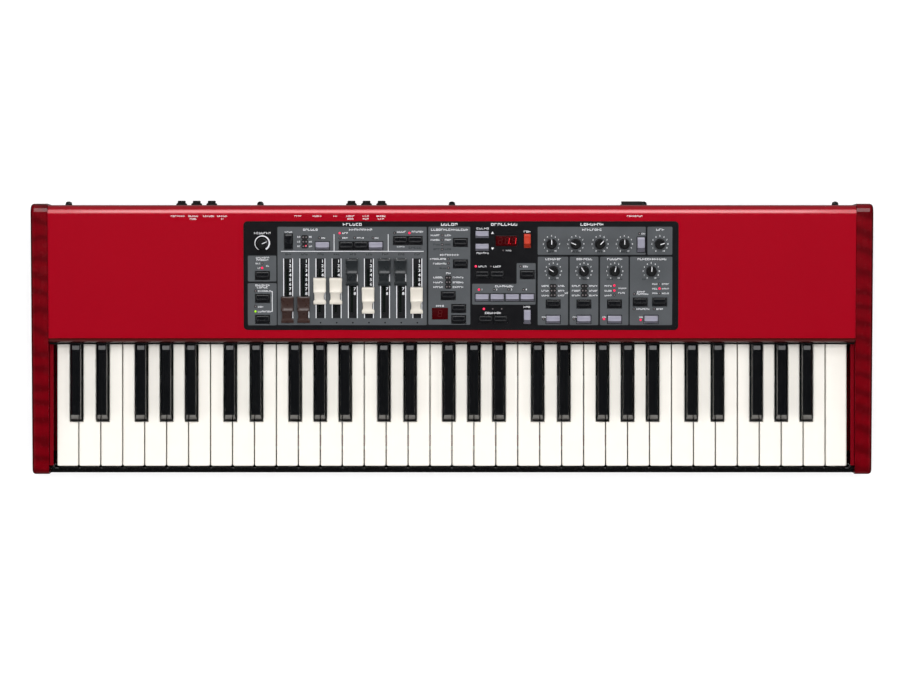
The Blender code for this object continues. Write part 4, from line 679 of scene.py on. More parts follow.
def dome_tree(name):
    """Tree that sets a small dome on each point of a mesh."""
    group = bpy.data.node_groups.new(name, "GeometryNodeTree")
    for label, kind in (("Points", "Geometry"), ("Radius", "Float"), ("Height", "Float"), ("Turn", "Vector"),
                        ("Finish", "Material")):
        group.interface.new_socket(label, in_out="INPUT", socket_type=f"NodeSocket{kind}")
    group.interface.new_socket("Result", in_out="OUTPUT", socket_type="NodeSocketGeometry")
    tree = Tree(group)
    given = tree.node("NodeGroupInput").outputs
    scale = tree.node("ShaderNodeCombineXYZ", {"X": given["Radius"], "Y": given["Radius"], "Z": given["Height"]})
    shape = tree.node("GeometryNodeMeshUVSphere", {"Segments": 12, "Rings": 6, "Radius": 1.0}).outputs["Mesh"]
    made = tree.node("GeometryNodeTransform", {"Geometry": shape, "Scale": scale.outputs["Vector"]})
    made = tree.node("GeometryNodeTransform", {"Geometry": made.outputs["Geometry"], "Rotation": given["Turn"]})
    made = tree.node("GeometryNodeInstanceOnPoints", {"Points": given["Points"],
                                                      "Instance": made.outputs["Geometry"]})
    made = tree.node("GeometryNodeRealizeInstances", {"Geometry": made.outputs["Instances"]})
    made = tree.node("GeometryNodeSetShadeSmooth", {"Geometry": made.outputs["Geometry"], "Shade Smooth": True})
    made = tree.node("GeometryNodeSetMaterial", {"Geometry": made.outputs["Geometry"], "Material": given["Finish"]})
    tree.node("NodeGroupOutput", {"Result": made.outputs["Geometry"]})
    return group


def domes(name, points, radius, height, turn, look):
    """A piece of like domes at world points, all given in metres."""
    tree = dome_tree(f"{name}_tree")
    mesh = bpy.data.meshes.new(f"{name}_points")
    mesh.from_pydata([tuple(point) for point in points], [], [])
    holder = bpy.data.objects.new(f"{name}_points", mesh)
    bpy.context.scene.collection.objects.link(holder)
    change = holder.modifiers.new("domes", "NODES")
    change.node_group = tree
    values = {"Radius": radius, "Height": height, "Turn": turn, "Finish": KIT.get(look)}
    for item in tree.interface.items_tree:
        if item.in_out == "INPUT" and item.name in values:
            change[item.identifier] = values[item.name]
    return piece(name, evaluated_mesh(holder))


def panel_points(places, height):
    return [PANEL @ Vector((x, v, height)) for x, v in places]


# Operators

class KEYBOARD_OT_case(bpy.types.Operator):
    """Paint the case, the cheeks, the slip and the inner metal and boards"""
    bl_idname = "keyboard.case"
    bl_label = "Case Finish"
    finishes = {
        "top_panel": "case_paint", "base_pan": "pan_paint", "key_slip": "slip", "key_frame": "steel",
        "key_springs": "bright_steel", "stop_felt": "felt", "contact_board": "board", "contact_strip": "rubber",
        "control_board": "board", "socket_board": "socket", "mains_inlet": "socket", "switch_housing": "socket",
        "power_rocker": "socket"}
    # Side view of the black strip under the panel's front edge, as (Y, Z)
    strip_side = ((-8.2, 79.4), (-7.8, 79.0), (-6.3, 79.0), (-6.3, 80.6), (-7.9, 80.6), (-8.2, 80.2))
    arc_steps = 8
    bend_steps = 16
    skin_proud = 0.02
    skin_depth = 0.4
    strip_inset = 1.0
    skin_inset = 0.05

    def execute(self, context):
        for node, name in self.finishes.items():
            dress(node, name)
        self.cheeks()
        self.bends()
        low, high = (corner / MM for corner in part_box("top_panel"))
        ends = (low.x + self.strip_inset, high.x - self.strip_inset)
        strip = Form(WORLD)
        strip.loft([[(x, y, z) for y, z in self.strip_side] for x in ends])
        strip.make("lip_strip", ["slip"], 40, closed=True, slot="slip_paint")
        return {"FINISHED"}

    def cheeks(self):
        """Wooden cheeks with a round along every outer edge."""
        inner, outer = CHEEK_X
        for node, side in (("left_cheek", -1), ("right_cheek", 1)):
            layers = [(inner, 0.0)]
            for step in range(self.arc_steps + 1):
                angle = math.pi / 2 * step / self.arc_steps
                layers.append((outer - CHEEK_EDGE * (1 - math.sin(angle)), CHEEK_EDGE * (1 - math.cos(angle))))
            form = Form(WORLD)
            form.loft([[(side * x, y, z) for y, z in filleted(CHEEK_CORNERS, CHEEK_ROUNDS, depth, 10)]
                       for x, depth in layers])
            form.marks[-1] = 1
            form.make(f"{node}_wood", ["cheek_lacquer", "cheek_side"], 30, closed=True, slot="cheek_lacquer",
                      replaced=node)

    def bends(self):
        """Smooth skins over the two long bends of the top panel; the front one is in a darker paint that is painted
        shade.
        """
        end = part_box("top_panel")[1].x / MM - self.skin_inset
        steps = self.bend_steps
        for name, (y, z, radius, first, last), look in (("rear_bend", REAR_BEND, "bend_paint"),
                                                       ("lip_bend", LIP_BEND, "lip_paint")):
            section = []
            for reach, order in ((radius + self.skin_proud, range(steps + 1)),
                                 (radius - self.skin_depth, range(steps, -1, -1))):
                for step in order:
                    angle = math.radians(first + (last - first) * step / steps)
                    section.append((y + reach * math.sin(angle), z + reach * math.cos(angle)))
            form = Form(WORLD)
            form.loft([[(x, py, pz) for py, pz in section] for x in (-end, end)])
            form.make(name, [look], 30, closed=True, slot="case_paint")


class KEYBOARD_OT_keys(bpy.types.Operator):
    """Give the keys their polished and satin plastics"""
    bl_idname = "keyboard.keys"
    bl_label = "Key Finish"
    # Rear end of a black key: centre Y, width, depth, corner
    heel = (-11.3, 7.5, 5.4, 0.6)
    heel_height = 0.04

    def execute(self, context):
        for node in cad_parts:
            if node.endswith("black_keys"):
                dress(node, "black_key")
                self.heels(node)
            elif node.endswith("_keys") or node == "top_c_key":
                dress(node, "white_key")
        return {"FINISHED"}

    def heels(self, node):
        """Glossy rear ends of the black keys, which fall away a little."""
        low, high = (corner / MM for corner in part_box(node))
        form = Form(WORLD)
        for offset in SHARP_X:
            form.prism(rounded(low.x + offset, *self.heel, 2), high.z, high.z + self.heel_height)
        form.make(f"{node}_heels", ["key_heel"], 30, closed=True, body=f"{node}_body", slot="black_key")


def hole_cutter():
    """Everything that passes through the fascia, a little larger."""
    cutter = Form()
    cap_gap, shaft_hole, glass_gap = 1.0, 3.6, 0.6
    for caps in CAPS.values():
        for x, v, width, depth in caps:
            half_x, half_v = width / 2 + cap_gap, depth / 2 + cap_gap
            cutter.prism(rectangle(x - half_x, v - half_v, x + half_x, v + half_v), -1.0, 1.0)
    for x, v, _ in KNOBS.values():
        cutter.prism(circle(x, v, shaft_hole), -1.0, 1.0)
    for x, v, width, depth in DISPLAYS:
        cutter.prism(rounded(x, v, width + glass_gap, depth + glass_gap, 0.3, 1), -1.0, 1.0)
    first, last, half = SLOT
    for x in DRAWBAR_X:
        stem = x + STEM_SHIFT
        cutter.prism(rectangle(stem - half, first, stem + half, last), -1.0, 1.0)
    return cutter


def cut(name, form, looks):
    """Mesh of a thin printed layer with the fascia's holes taken out of it."""
    layer = bpy.data.objects.new(name, form.mesh(name, looks, closed=True))
    cutter = bpy.data.objects.new(f"{name}_cutter", hole_cutter().mesh(f"{name}_cutter", [], closed=True))
    for thing in (layer, cutter):
        bpy.context.scene.collection.objects.link(thing)
    change = layer.modifiers.new("holes", "BOOLEAN")
    change.operation = "DIFFERENCE"
    change.solver = "EXACT"
    change.use_self = True
    change.object = cutter
    made = evaluated_mesh(layer)
    bpy.data.objects.remove(cutter, do_unlink=True)
    return made


def dial_angle(step, steps):
    """Direction of one of a knob's scale marks, clockwise from its lower left."""
    return math.radians(90 + KNOB_SWEEP - 2 * KNOB_SWEEP * step / steps)


class KEYBOARD_OT_fascia(bpy.types.Operator):
    """Lay the fascia film and its printed fields, rules, marks and numerals"""
    bl_idname = "keyboard.fascia"
    bl_label = "Fascia Print"
    seed = 5
    # Light bars: first X, first V, last X, last V
    bars = ((-182.6, 91.2, -30.3, 91.8), (-125.9 - 0.3, 91.8, -125.9 + 0.3, 109.8),
            (-68.1 - 0.3, 91.8, -68.1 + 0.3, 109.8), (-192.4, 27.0, -191.8, 48.8),
            (-194.0, 27.0, -192.4, 27.0 + 0.6), (-194.0, 48.2, -192.4, 48.2 + 0.6))
    # Lines beside a drawbar's band: shift from its middle and half width
    band_line = (4.8, 0.4)
    # Drawbar numerals: shift in X, V of the first, step to the next
    drawbar_numerals = (2.2, 81.1, 4.97)
    # Ring round the master knob: radius, steps, width at the start and its growth
    level_ring = (8.3, 36, 0.5, 1.3)
    scale_reach = 8.6
    # Dot under each drawbar: V, radius, sides; and the mark over it: first V, last V, half width
    drawbar_dot = (15.0, 0.9, 12)
    drawbar_mark = (87.3, 89.3, 3.5)
    # Film beyond the fascia on its left, front, right and rear, and its corner; then the inner edge of the overlap
    overlaps = ((0.75, 1.0, 1.35, 0.7, 4.6), (-1.0, -1.0, -1.0, -1.0, 3.0))
    overlap_levels = (-0.02, 0.03)
    # Arrows of the page buttons: X, half width, and their directions with their V
    arrow_x, arrow_half = 43.3, 1.6
    arrows = ((1, 111.2), (-1, 94.5))
    rear_mark_height = 1.7

    def execute(self, context):
        dress("control_fascia", "film")
        fields = Form()
        for x0, v0, x1, v1 in FIELDS:
            fields.prism(rounded((x0 + x1) / 2, (v0 + v1) / 2, x1 - x0, v1 - v0, 1.0, 2), 0.0, FIELD_H)
        fields.prism(softened(PROGRAM_FIELD, 1.0), 0.0, FIELD_H)
        first, last, half = BAND
        for x in DRAWBAR_X:
            fields.prism(rectangle(x - half, first, x + half, last), FIELD_H + 0.005, FIELD_H + 0.015, 1)
        piece("printed_fields", cut("printed_fields", fields, ["field", "dark_print"]), slot="fascia_film")
        self.skirt()
        self.rules(context.scene.keyboard_panel.numeral_height / MM)
        self.marks()
        return {"FINISHED"}

    def skirt(self):
        """The film's overlap on the painted panel around the fascia."""
        low, high = (corner.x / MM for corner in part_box("control_fascia"))
        rings = []
        for left, front, right, rear, radius in self.overlaps:
            x0, v0, x1, v1 = low - left, FASCIA_FRONT_V - front, high + right, FASCIA_REAR_V + rear
            outline = rounded((x0 + x1) / 2, (v0 + v1) / 2, x1 - x0, v1 - v0, radius, 6)
            rings.append([[(x, v, height) for x, v in outline] for height in self.overlap_levels])
        (outer_low, outer_high), (inner_low, inner_high) = rings
        form = Form()
        form.loft([outer_low, outer_high, inner_high, inner_low, outer_low], capped=False)
        form.make("film_skirt", ["film"], 30, closed=True, slot="fascia_film")

    def rules(self, numeral_height):
        form = Form()
        for x0, v0, x1, v1 in self.bars:
            form.bar(x0, v0, x1, v1, RULE_H)
        first, last, _ = BAND
        shift, half = self.band_line
        dx, top, pitch = self.drawbar_numerals
        dot_v, dot_radius, dot_sides = self.drawbar_dot
        for x in DRAWBAR_X:
            for side in (-shift, shift):
                form.bar(x + side - half, first, x + side + half, last, RULE_H)
            for step in range(1, 9):
                KIT.numerals.write(form, str(step), x + dx, top - pitch * (step - 1), numeral_height)
            form.patch(circle(x, dot_v, dot_radius, dot_sides), RULE_H, 1)
        self.scales(form)
        for x, v in ON_LABELS:
            KIT.numerals.write(form, "ON", x, v, SCALE_NUMERAL)
        for number, (x, v) in enumerate(PROGRAM_NUMERALS, 1):
            KIT.numerals.write(form, str(number), x, v, PROGRAM_NUMERAL)
        x, half = self.arrow_x, self.arrow_half
        for way, v in self.arrows:
            form.patch([(x - half, v - way), (x + half, v - way), (x, v + way * half)][::way], RULE_H)
        form.make("printed_rules", ["light_print", "dark_print"])

    def scales(self, form):
        """Numerals round the knobs, and the ring of the master knob, which widens clockwise."""
        for node, (x, v, _) in KNOBS.items():
            if node == "master_level_knob":
                continue
            for number in range(11):
                angle = dial_angle(number, 10)
                KIT.numerals.write(form, str(number), x + self.scale_reach * math.cos(angle),
                                   v + self.scale_reach * math.sin(angle), SCALE_NUMERAL)
        x, v, _ = KNOBS["master_level_knob"]
        outer, steps, width, growth = self.level_ring
        for step in range(steps):
            first, last = (dial_angle(value, steps) for value in (step, step + 1))
            inner = [outer - width - growth * value / steps for value in (step, step + 1)]
            form.patch([(x + radius * math.cos(angle), v + radius * math.sin(angle)) for radius, angle in (
                (inner[0], first), (inner[1], last), (outer, last), (outer, first))], RULE_H)

    def marks(self):
        dice = random.Random(self.seed)
        form = Form()
        for place in TITLE_MARKS + LIGHT_MARKS + SMALL_MARKS:
            word_marks(form, *place, dice)
        for place in DARK_MARKS:
            word_marks(form, *place, dice, 1)
        first, last, half = self.drawbar_mark
        for x in DRAWBAR_X:
            word_marks(form, x - half, first, x + half, last, dice, 1)
        form.make("printed_marks", ["light_print", "dark_print"])
        rear = Form()
        low, high = REAR_MARK_V
        for x0, x1, half in REAR_MARKS:
            word_marks(rear, x0, high - self.rear_mark_height, x1, high, dice)
            if half:
                middle = (x0 + x1) / 2
                word_marks(rear, middle - half, low, middle + half, low + self.rear_mark_height, dice)
        rear.make("printed_rear_marks", ["light_print"])


class KEYBOARD_OT_lamps(bpy.types.Operator):
    """Set the panel lamps and the blocks that hold two rows of lamps"""
    bl_idname = "keyboard.lamps"
    bl_label = "Panel Lamps"
    # Lamps: finish, places, share of the set radius
    groups = {"red_lamps": ("lit_red", RED_LAMPS, 1.15), "green_lamps": ("lit_green", GREEN_LAMPS, 1.1),
              "dark_lamps": ("dark_lens", DARK_LAMPS, 0.7)}
    lobe_round = 1.3
    lobe_share = 0.48
    lens_inset = 2.1
    block_height = 0.25
    # Lamps of a block: height over the fascia, share of the set radius
    block_lens = (0.2, 0.75)
    ring_sides = 14
    ring_shares = (0.7, 1.3)

    def execute(self, context):
        radius = context.scene.keyboard_panel.lens_radius
        turn = (SLOPE, 0.0, 0.0)
        lenses = self.blocks()
        for name, (look, places, size) in self.groups.items():
            domes(name, panel_points(places, 0.0), radius * size, LAMP_H * MM, turn, look)
        height, size = self.block_lens
        domes("block_lamps", panel_points(lenses, height), radius * size, LAMP_H * MM, turn, "dark_lens")
        rings = Form()
        for place in DARK_LAMPS + RED_LAMPS + GREEN_LAMPS:
            inner, outer = (circle(*place, radius / MM * share, self.ring_sides) for share in self.ring_shares)
            for index in range(self.ring_sides):
                after = (index + 1) % self.ring_sides
                rings.patch([inner[index], outer[index], outer[after], inner[after]], RULE_H)
        rings.make("lamp_rings", ["dark_print"])
        return {"FINISHED"}

    def blocks(self):
        """Lobed blocks with three lamps on each side; the places of the lamps are given back."""
        form = Form()
        lenses = []
        for x0, v0, x1, v1 in LAMP_BLOCKS:
            step = (v1 - v0) / 3
            outline = []
            for side, order in ((1, (0, 1, 2)), (-1, (2, 1, 0))):
                edge = x1 if side > 0 else x0
                for lobe in order:
                    middle = v0 + step * (lobe + 0.5)
                    for part in range(5):
                        angle = -math.pi / 2 + math.pi * part / 4
                        outline.append((edge - side * self.lobe_round + side * self.lobe_round * math.cos(angle),
                                        middle + side * step * self.lobe_share * math.sin(angle)))
                    lenses.append((edge - side * self.lens_inset, middle))
            form.prism(outline, FIELD_H, self.block_height)
        form.make("lamp_blocks", ["lamp_frame"], closed=True)
        return lenses


class KEYBOARD_OT_displays(bpy.types.Operator):
    """Fit the display windows and the lit digits of the program display"""
    bl_idname = "keyboard.displays"
    bl_label = "Displays"
    # Inset and height of the glass, from its foot to its top
    glass_levels = ((0.0, -0.18), (0.0, -0.05), (0.15, 0.0))
    # Digits of the program display: shift in X, number shown
    digits = ((-6.4, ""), (1.1, "1"), (8.2, "1"))
    digit_half = (1.9, 3.4)
    stroke = 0.55
    lean = 0.12
    digit_height = 0.03
    # Lengths of a digit's flat and upright bars, as shares; and its point: shift in X and V, radius, sides
    bar_shares = (0.82, 0.86)
    point = (4.4, -3.2, 0.4, 8)

    def execute(self, context):
        glass = Form()
        for x, v, width, depth in DISPLAYS:
            glass.loft([[(px, pv, height) for px, pv in rounded(x, v, width - 2 * edge, depth - 2 * edge, 0.4, 2)]
                        for edge, height in self.glass_levels])
        glass.make("display_windows", ["glass"], 30, closed=True)
        lit, unlit = Form(), Form()
        (x, v, *_), (unlit_x, unlit_v, *_) = DISPLAYS
        for shift, digit in self.digits:
            self.digit(lit, unlit, x + shift, v, digit)
        dx, dv, radius, sides = self.point
        lit.patch(circle(x + dx, v + dv, radius, sides), self.digit_height)
        self.digit(lit, unlit, unlit_x, unlit_v, "")
        lit.make("lit_digits", ["lit_digit"])
        unlit.make("unlit_digits", ["dim_bar"])
        return {"FINISHED"}

    def digit(self, lit, unlit, x, v, digit):
        """Seven bars; the bars of the digit go to the lit form."""
        half_x, half_v = self.digit_half
        bars = {"a": (0, half_v, 1), "g": (0, 0, 1), "d": (0, -half_v, 1), "b": (half_x, half_v / 2, 0),
                "c": (half_x, -half_v / 2, 0), "f": (-half_x, half_v / 2, 0), "e": (-half_x, -half_v / 2, 0)}
        shown = {"1": "bc", "": ""}[digit]
        flat_share, upright_share = self.bar_shares
        for key, (dx, dv, flat) in bars.items():
            long, wide = ((half_x * flat_share, self.stroke / 2) if flat
                          else (self.stroke / 2, half_v / 2 * upright_share))
            target = lit if key in shown else unlit
            target.patch([(x + px + pv * self.lean, v + pv)
                          for px, pv in rectangle(dx - long, dv - wide, dx + long, dv + wide)], self.digit_height)


class KEYBOARD_OT_caps(bpy.types.Operator):
    """Build the scooped button caps of each panel section"""
    bl_idname = "keyboard.caps"
    bl_label = "Button Caps"
    overhang = 0.2
    # Web between two caps: half width, lowest and highest point
    web = (1.6, -4.4, -3.0)
    # Share of the depth from the front, height
    profile = ((0.0, 0.7), (0.13, 1.1), (0.28, 1.95), (0.33, 2.2), (0.4, 2.08), (0.5, 1.93), (0.62, 1.87),
               (0.74, 1.95), (0.86, 2.2), (0.96, 1.9), (1.0, 1.4))
    # Shares of the half width
    lanes = (-1.0, -0.93, -0.86, -0.72, -0.66, -0.3, 0.3, 0.66, 0.72, 0.86, 0.93, 1.0)
    foot, waist, brim, least = -5.4, 0.5, 0.52, 0.56
    side_drop, edge_drop, notch_drop, rim_rise = 0.5, 0.1, 1.1, 0.12

    def execute(self, context):
        half, low, high = self.web
        for node, caps in CAPS.items():
            form = Form()
            grey = GREY_CAPS.get(node, ())
            for index, (x, v, width, depth) in enumerate(caps):
                self.cap(form, x, v, width, depth, int(index in grey))
            for (x0, v0, *_), (x1, v1, *_) in zip(caps, caps[1:]):
                along = Vector((x1 - x0, v1 - v0)).normalized()
                across = Vector((-along.y, along.x)) * half
                first, last = Vector((x0, v0)), Vector((x1, v1))
                form.prism([tuple(first + across), tuple(first - across), tuple(last - across),
                            tuple(last + across)], low, high)
            # Each cap's front rows get a darker lip finish as painted shade
            look, shaded_lip = ("cap_red", "store_lip") if node == "store_button" else ("cap_black", "black_lip")
            form.make(f"{node}_caps", [look, "cap_grey", shaded_lip, "grey_lip"], 40, closed=True, body=f"{node}_body",
                      slot="cap_grey" if 2 * len(grey) > len(caps) else look, replaced=node)
        return {"FINISHED"}

    def cap(self, form, x, v, width, depth, mark):
        """A cap with a bevelled rear edge, a scoop, a front ridge and two notched front corners."""
        wide, deep = width + 2 * self.overhang, depth + 1.6 * self.overhang
        grid = []
        for along, height in self.profile:
            line = []
            for across in self.lanes:
                side = abs(across)
                edge = self.side_drop if side == 1.0 else self.edge_drop if side > 0.9 else 0.0
                notch = self.notch_drop if 0.05 < along < 0.3 and 0.7 < side < 0.95 else 0.0
                rim = self.rim_rise if 0.3 < along < 0.85 and 0.7 < side < 0.95 else 0.0
                line.append((x + across * wide / 2, v + (along - 0.5) * deep,
                             max(self.least, height - edge - notch + rim)))
            grid.append(line)
        form.grid(grid[2:], mark)
        # The front rows take the darker lip finish, a painted shade
        form.grid(grid[:3], mark + 2)
        border = grid[0] + [line[-1] for line in grid[1:]] + grid[-1][-2::-1] + [line[0] for line in grid[-2:0:-1]]
        levels = [(self.foot, width / wide, depth / deep), (self.waist, width / wide, depth / deep),
                  (self.brim, 1.0, 1.0)]
        rings = [[(x + (px - x) * across, v + (pv - v) * up, height) for px, pv, _ in border]
                 for height, across, up in levels]
        form.loft(rings + [border], mark, capped=False)
        form.add(rings[0], [tuple(reversed(range(len(border))))], mark)


class KEYBOARD_OT_knobs(bpy.types.Operator):
    """Build the fluted knobs with their pointer lines"""
    bl_idname = "keyboard.knobs"
    bl_label = "Knobs"
    # Radius, height
    profile = ((3.0, -6.1), (3.0, 0.6), (5.5, 0.6), (5.7, 0.8), (5.65, 2.2), (5.45, 2.5), (5.05, 11.7),
               (4.85, 12.2), (4.45, 12.55), (3.9, 12.6), (2.2, 12.42), (0.6, 12.35))
    sides = 72
    flutes = 18
    flute_depth = 0.14
    # Pointer line: distance from the middle, height of the knob there, height of the line
    line = ((0.2, 12.38, 12.48), (3.9, 12.5, 12.66), (4.5, 12.4, 12.6), (5.0, 11.9, 12.15), (5.45, 2.6, 2.9))
    line_half, line_depth, line_sink = 0.42, 0.4, 0.2

    def execute(self, context):
        for node, (x, v, direction) in KNOBS.items():
            form = Form()
            rings = []
            for radius, height in self.profile:
                fluted = 2.3 < height < 12.3 and radius > 4
                ring = []
                for index in range(self.sides):
                    angle = 2 * math.pi * index / self.sides
                    flute = self.flute_depth * (1 + math.cos(self.flutes * angle)) / 2 if fluted else 0.0
                    ring.append((x + (radius - flute) * math.cos(angle), v + (radius - flute) * math.sin(angle),
                                 height))
                rings.append(ring)
            form.loft(rings)
            angle = math.radians(90 - direction)
            along, across = Vector((math.cos(angle), math.sin(angle))), Vector((-math.sin(angle), math.cos(angle)))
            middle, side = Vector((x, v)), across * self.line_half
            rings = []
            for reach, low, high in self.line:
                spot = middle + along * reach
                behind, foot = spot - along * self.line_depth, low - self.line_sink
                rings.append([(*(spot - side), high), (*(spot + side), high), (*(behind + side), foot),
                              (*(behind - side), foot)])
            form.loft(rings, 1)
            form.make(f"{node}_cap", ["knob", "light_print"], 35, closed=True, body=f"{node}_body",
                      slot="knob_black", replaced=node)
        return {"FINISHED"}


class KEYBOARD_OT_drawbars(bpy.types.Operator):
    """Build the nine drawbar tabs at their registration"""
    bl_idname = "keyboard.drawbars"
    bl_label = "Drawbars"
    # Distance up the slope, reach to the left, reach to the right, height
    profile = ((-14.4, 6.2, 6.2, 1.6), (-14.1, 6.7, 6.7, 2.5), (-13.2, 6.8, 6.8, 3.2), (-11.0, 6.7, 6.7, 3.6),
               (-10.0, 6.4, 6.2, 3.4), (-9.4, 5.8, 4.6, 3.3), (-7.0, 5.7, 4.4, 4.3), (-4.0, 5.8, 4.5, 6.0),
               (-2.2, 6.0, 4.9, 7.3), (-1.2, 6.5, 6.3, 8.2), (-0.6, 6.6, 6.6, 8.4), (0.2, 6.6, 6.6, 7.9),
               (1.4, 6.6, 6.6, 7.3), (4.0, 6.6, 6.6, 7.1), (8.0, 6.6, 6.6, 7.6), (10.6, 6.7, 6.7, 8.5),
               (12.2, 6.8, 6.8, 9.4), (13.2, 6.7, 6.7, 9.55), (14.0, 6.6, 6.6, 9.2), (14.4, 6.4, 6.4, 8.2))
    tab_shift = -0.8
    foot = 0.6
    # Stem: half width, half depth, lowest and highest point
    stem = (0.8, 3.0, -6.1, 0.8)

    def execute(self, context):
        half_x, half_v, low, high = self.stem
        for number, (middle, steps, colour) in enumerate(zip(DRAWBAR_X, REGISTRATION, DRAWBAR_COLOURS), 1):
            v = DRAWBAR_HOME_V - steps * DRAWBAR_STEP
            x, stem = middle + self.tab_shift, middle + STEM_SHIFT
            form = Form()
            form.loft([[(px, v + along, height) for px, height in self.section(x, left, right, top)]
                       for along, left, right, top in self.profile])
            form.prism(rectangle(stem - half_x, v - half_v, stem + half_x, v + half_v), low, high)
            node = f"drawbar_{number}"
            form.make(f"{node}_tab", [f"drawbar_{colour}"], 32, closed=True, body=f"{node}_body",
                      slot=f"drawbar_{colour}", replaced=node)
        return {"FINISHED"}

    def section(self, x, left, right, top):
        """Outline across a tab, with rounded upper edges and a slight dip."""
        return [(x + right, self.foot), (x + right, top - 1.0), (x + right - 0.25, top - 0.35),
                (x + right - 0.9, top), (x + right * 0.4, top - 0.12), (x - left * 0.4, top - 0.12),
                (x - left + 0.9, top), (x - left + 0.25, top - 0.35), (x - left, top - 1.0), (x - left, self.foot)]


class KEYBOARD_OT_rear(bpy.types.Operator):
    """Set the three pins in the mains inlet"""
    bl_idname = "keyboard.rear"
    bl_label = "Inlet Pins"
    # Pins: shift in X and Z from the middle of the inlet; width, height and corner of each
    pins = ((-7.0, -1.5), (7.0, -1.5), (0.0, 2.6))
    pin_size = (2.0, 4.2, 0.4)
    pin_length = 12.0
    inlet_depth = 15.7

    def execute(self, context):
        low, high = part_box("mains_inlet")
        middle = (low + high) / 2 / MM
        deep = high.y / MM - self.inlet_depth
        form = Form(WORLD)
        for dx, dz in self.pins:
            outline = rounded(middle.x + dx, middle.z + dz, *self.pin_size, 2)
            form.loft([[(px, deep + reach, pz) for px, pz in outline] for reach in (0.0, self.pin_length)])
        form.make("inlet_pins", ["bright_steel"], 40, closed=True, slot="spring_steel")
        return {"FINISHED"}


class KEYBOARD_OT_underside(bpy.types.Operator):
    """Set the screws under the base pan"""
    bl_idname = "keyboard.underside"
    bl_label = "Underside"
    screw_x = (-0.34, -0.17, 0.0, 0.17, 0.34)
    screw_z = 0.0068
    front_inset, rear_inset = 0.018, 0.02
    screw_radius = 0.0035
    screw_height = 0.0011

    def execute(self, context):
        low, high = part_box("base_pan")
        rows = (low.y + self.front_inset, 0.0, high.y - self.rear_inset)
        places = [(x, y, self.screw_z) for x in self.screw_x for y in rows]
        domes("pan_screws", places, self.screw_radius, self.screw_height, (0.0, 0.0, 0.0), "bright_steel")
        return {"FINISHED"}


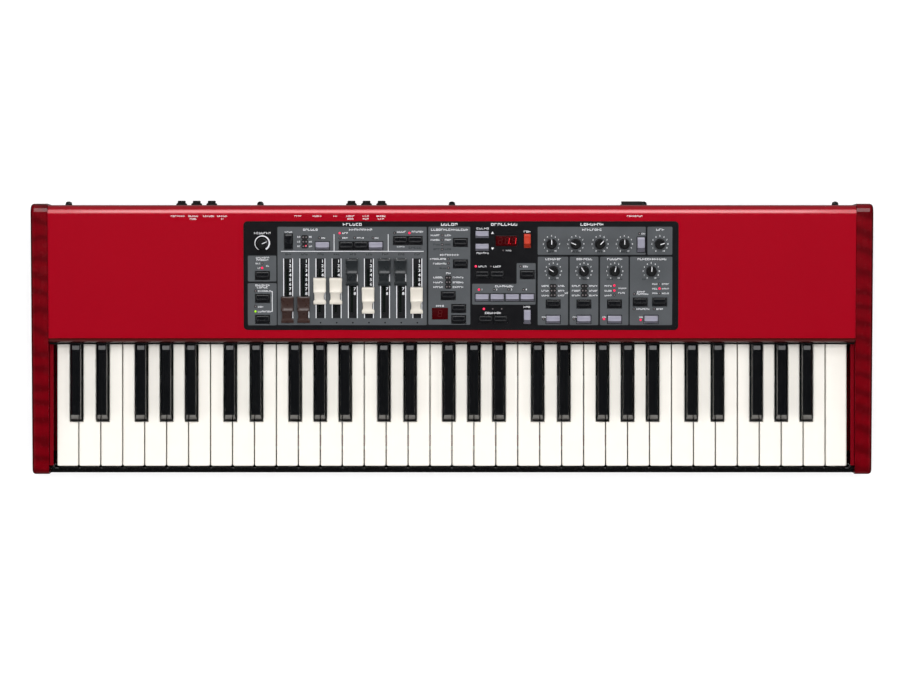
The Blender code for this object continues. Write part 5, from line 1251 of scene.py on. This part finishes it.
class KEYBOARD_OT_studio(bpy.types.Operator):
    """Set the floor, the lamps, the world and the camera"""
    bl_idname = "keyboard.studio"
    bl_label = "Studio"
    aim = (0, 0, 0.05)
    camera_x, camera_y = -0.0021, -0.0073
    sensor_width = 36.0
    floor_half = 6
    # Share of white that the floor adds for the camera, over its lit paper
    floor_glow = 0.7

    def execute(self, context):
        scene = context.scene
        studio = scene.keyboard_studio
        scene.view_settings.view_transform = "Standard"
        self.floor()
        self.world(scene)
        # A soft lamp isn't mirrored, and a mirrored one gives no soft light
        for name, place, size, power, kind in (
                ("left_lamp", (-2.6, -0.5, 2.6), (1.8, 2.4), studio.key_power, "both"),
                ("right_lamp", (2.6, -0.5, 2.6), (1.8, 2.4), studio.key_power, "both"),
                ("rear_fill", (0.0, 1.6, 2.2), (1.2, 1.2), studio.fill_power, "both"),
                ("top_lamp", (0.0, 0.3, 3.9), (2.0, 2.0), studio.top_power, "soft"),
                ("rear_lamp", (0.0, 1.385, 1.79), (1.9, 1.83), studio.rear_power, "mirrored")):
            data = bpy.data.lights.new(name, "AREA")
            data.shape = "RECTANGLE"
            data.size, data.size_y = size
            data.energy = power
            lamp = bpy.data.objects.new(name, data)
            lamp.visible_diffuse = kind != "mirrored"
            lamp.visible_glossy = kind != "soft"
            lamp.visible_camera = False
            scene.collection.objects.link(lamp)
            lamp.location = place
            lamp.rotation_euler = (Vector(self.aim) - Vector(place)).to_track_quat("-Z", "Y").to_euler()
        data = bpy.data.cameras.new("overhead_camera")
        data.lens = studio.lens
        data.sensor_width = self.sensor_width
        camera = bpy.data.objects.new("overhead_camera", data)
        camera.location = (self.camera_x, self.camera_y, studio.camera_height)
        scene.collection.objects.link(camera)
        scene.camera = camera
        return {"FINISHED"}

    def floor(self):
        """Pale paper that takes the object's shadow and shows white to the camera."""
        mesh = bpy.data.meshes.new("floor")
        half = self.floor_half
        mesh.from_pydata([(x, y, 0) for x, y in rectangle(-half, -half, half, half)], [], [(0, 1, 2, 3)])
        finish = Finish("floor_paper")
        finish.tree.nodes.remove(finish.shader)
        tone = finish.ramp(finish.noise(30.0), [(0.3, (0.44, 0.44, 0.44)), (0.7, (0.46, 0.46, 0.46))])
        paper = finish.node("ShaderNodeBsdfDiffuse", {"Color": tone})
        seen = finish.node("ShaderNodeLightPath").outputs["Is Camera Ray"]
        glow = finish.node("ShaderNodeEmission", {"Strength": finish.math("MULTIPLY", seen, self.floor_glow)})
        both = finish.node("ShaderNodeAddShader", {0: paper.outputs["BSDF"], 1: glow.outputs["Emission"]})
        finish.feed(finish.tree.nodes["Material Output"], {"Surface": both.outputs["Shader"]})
        mesh.materials.append(finish.material)
        floor = bpy.data.objects.new("floor", mesh)
        floor.visible_glossy = False
        bpy.context.scene.collection.objects.link(floor)

    def world(self, scene):
        """Dim room light, a white backdrop, and a sky that darkens upwards in reflections."""
        world = bpy.data.worlds.new("studio_world")
        scene.world = world
        world.use_nodes = True
        world.cycles.sampling_method = "NONE"
        tree, nodes = Tree(world.node_tree), world.node_tree.nodes
        room = tree.feed(nodes["Background"], {"Color": (0.95, 0.97, 1.0, 1.0), "Strength": 0.3})
        place = tree.node("ShaderNodeTexCoord").outputs["Generated"]
        height = tree.node("ShaderNodeSeparateXYZ", {"Vector": place}).outputs["Z"]
        sky = tree.ramp(height, [(0.0, (0.2, 0.2, 0.2)), (0.35, (0.16, 0.16, 0.16)), (0.75, (0.01, 0.01, 0.01))])
        mirrored = tree.node("ShaderNodeBackground", {"Color": sky})
        backdrop = tree.node("ShaderNodeBackground", {"Color": (1.0, 1.0, 1.0, 1.0)})
        path = tree.node("ShaderNodeLightPath").outputs
        camera, glossy, through = (path[ray] for ray in ("Is Camera Ray", "Is Glossy Ray", "Is Transmission Ray"))
        bright = tree.node("ShaderNodeMixShader", {"Fac": camera, 1: mirrored.outputs["Background"],
                                                   2: backdrop.outputs["Background"]})
        clear = tree.math("MAXIMUM", tree.math("MAXIMUM", camera, glossy), through)
        choice = tree.node("ShaderNodeMixShader", {"Fac": clear, 1: room.outputs["Background"],
                                                   2: bright.outputs["Shader"]})
        tree.feed(nodes["World Output"], {"Surface": choice.outputs["Shader"]})


OPERATORS = (KEYBOARD_OT_case, KEYBOARD_OT_keys, KEYBOARD_OT_fascia, KEYBOARD_OT_lamps, KEYBOARD_OT_displays,
             KEYBOARD_OT_caps, KEYBOARD_OT_knobs, KEYBOARD_OT_drawbars, KEYBOARD_OT_rear, KEYBOARD_OT_underside,
             KEYBOARD_OT_studio)
SETTINGS = {"keyboard_case": CaseSettings, "keyboard_panel": PanelSettings, "keyboard_studio": StudioSettings}


class KEYBOARD_PT_finish(bpy.types.Panel):
    """Settings of the keyboard and the steps that dress it"""
    bl_label = "Stage Keyboard"
    bl_idname = "KEYBOARD_PT_finish"
    bl_space_type = "VIEW_3D"
    bl_region_type = "UI"
    bl_category = "Keyboard"

    def draw(self, context):
        layout = self.layout
        for name in SETTINGS:
            group = getattr(context.scene, name)
            box = layout.box()
            for key in group.bl_rna.properties.keys():
                if key not in ("rna_type", "name"):
                    box.prop(group, key)
        for operator in OPERATORS:
            layout.operator(operator.bl_idname)


def register():
    for group in SETTINGS.values():
        bpy.utils.register_class(group)
    for operator in OPERATORS:
        bpy.utils.register_class(operator)
    bpy.utils.register_class(KEYBOARD_PT_finish)
    for name, group in SETTINGS.items():
        setattr(bpy.types.Scene, name, bpy.props.PointerProperty(type=group))


def unregister():
    for name in SETTINGS:
        delattr(bpy.types.Scene, name)
    bpy.utils.unregister_class(KEYBOARD_PT_finish)
    for operator in reversed(OPERATORS):
        bpy.utils.unregister_class(operator)
    for group in SETTINGS.values():
        bpy.utils.unregister_class(group)


def main():
    register()
    for operator in OPERATORS:
        family, name = operator.bl_idname.split(".")
        getattr(getattr(bpy.ops, family), name)()


if __name__ == "__main__":
    main()
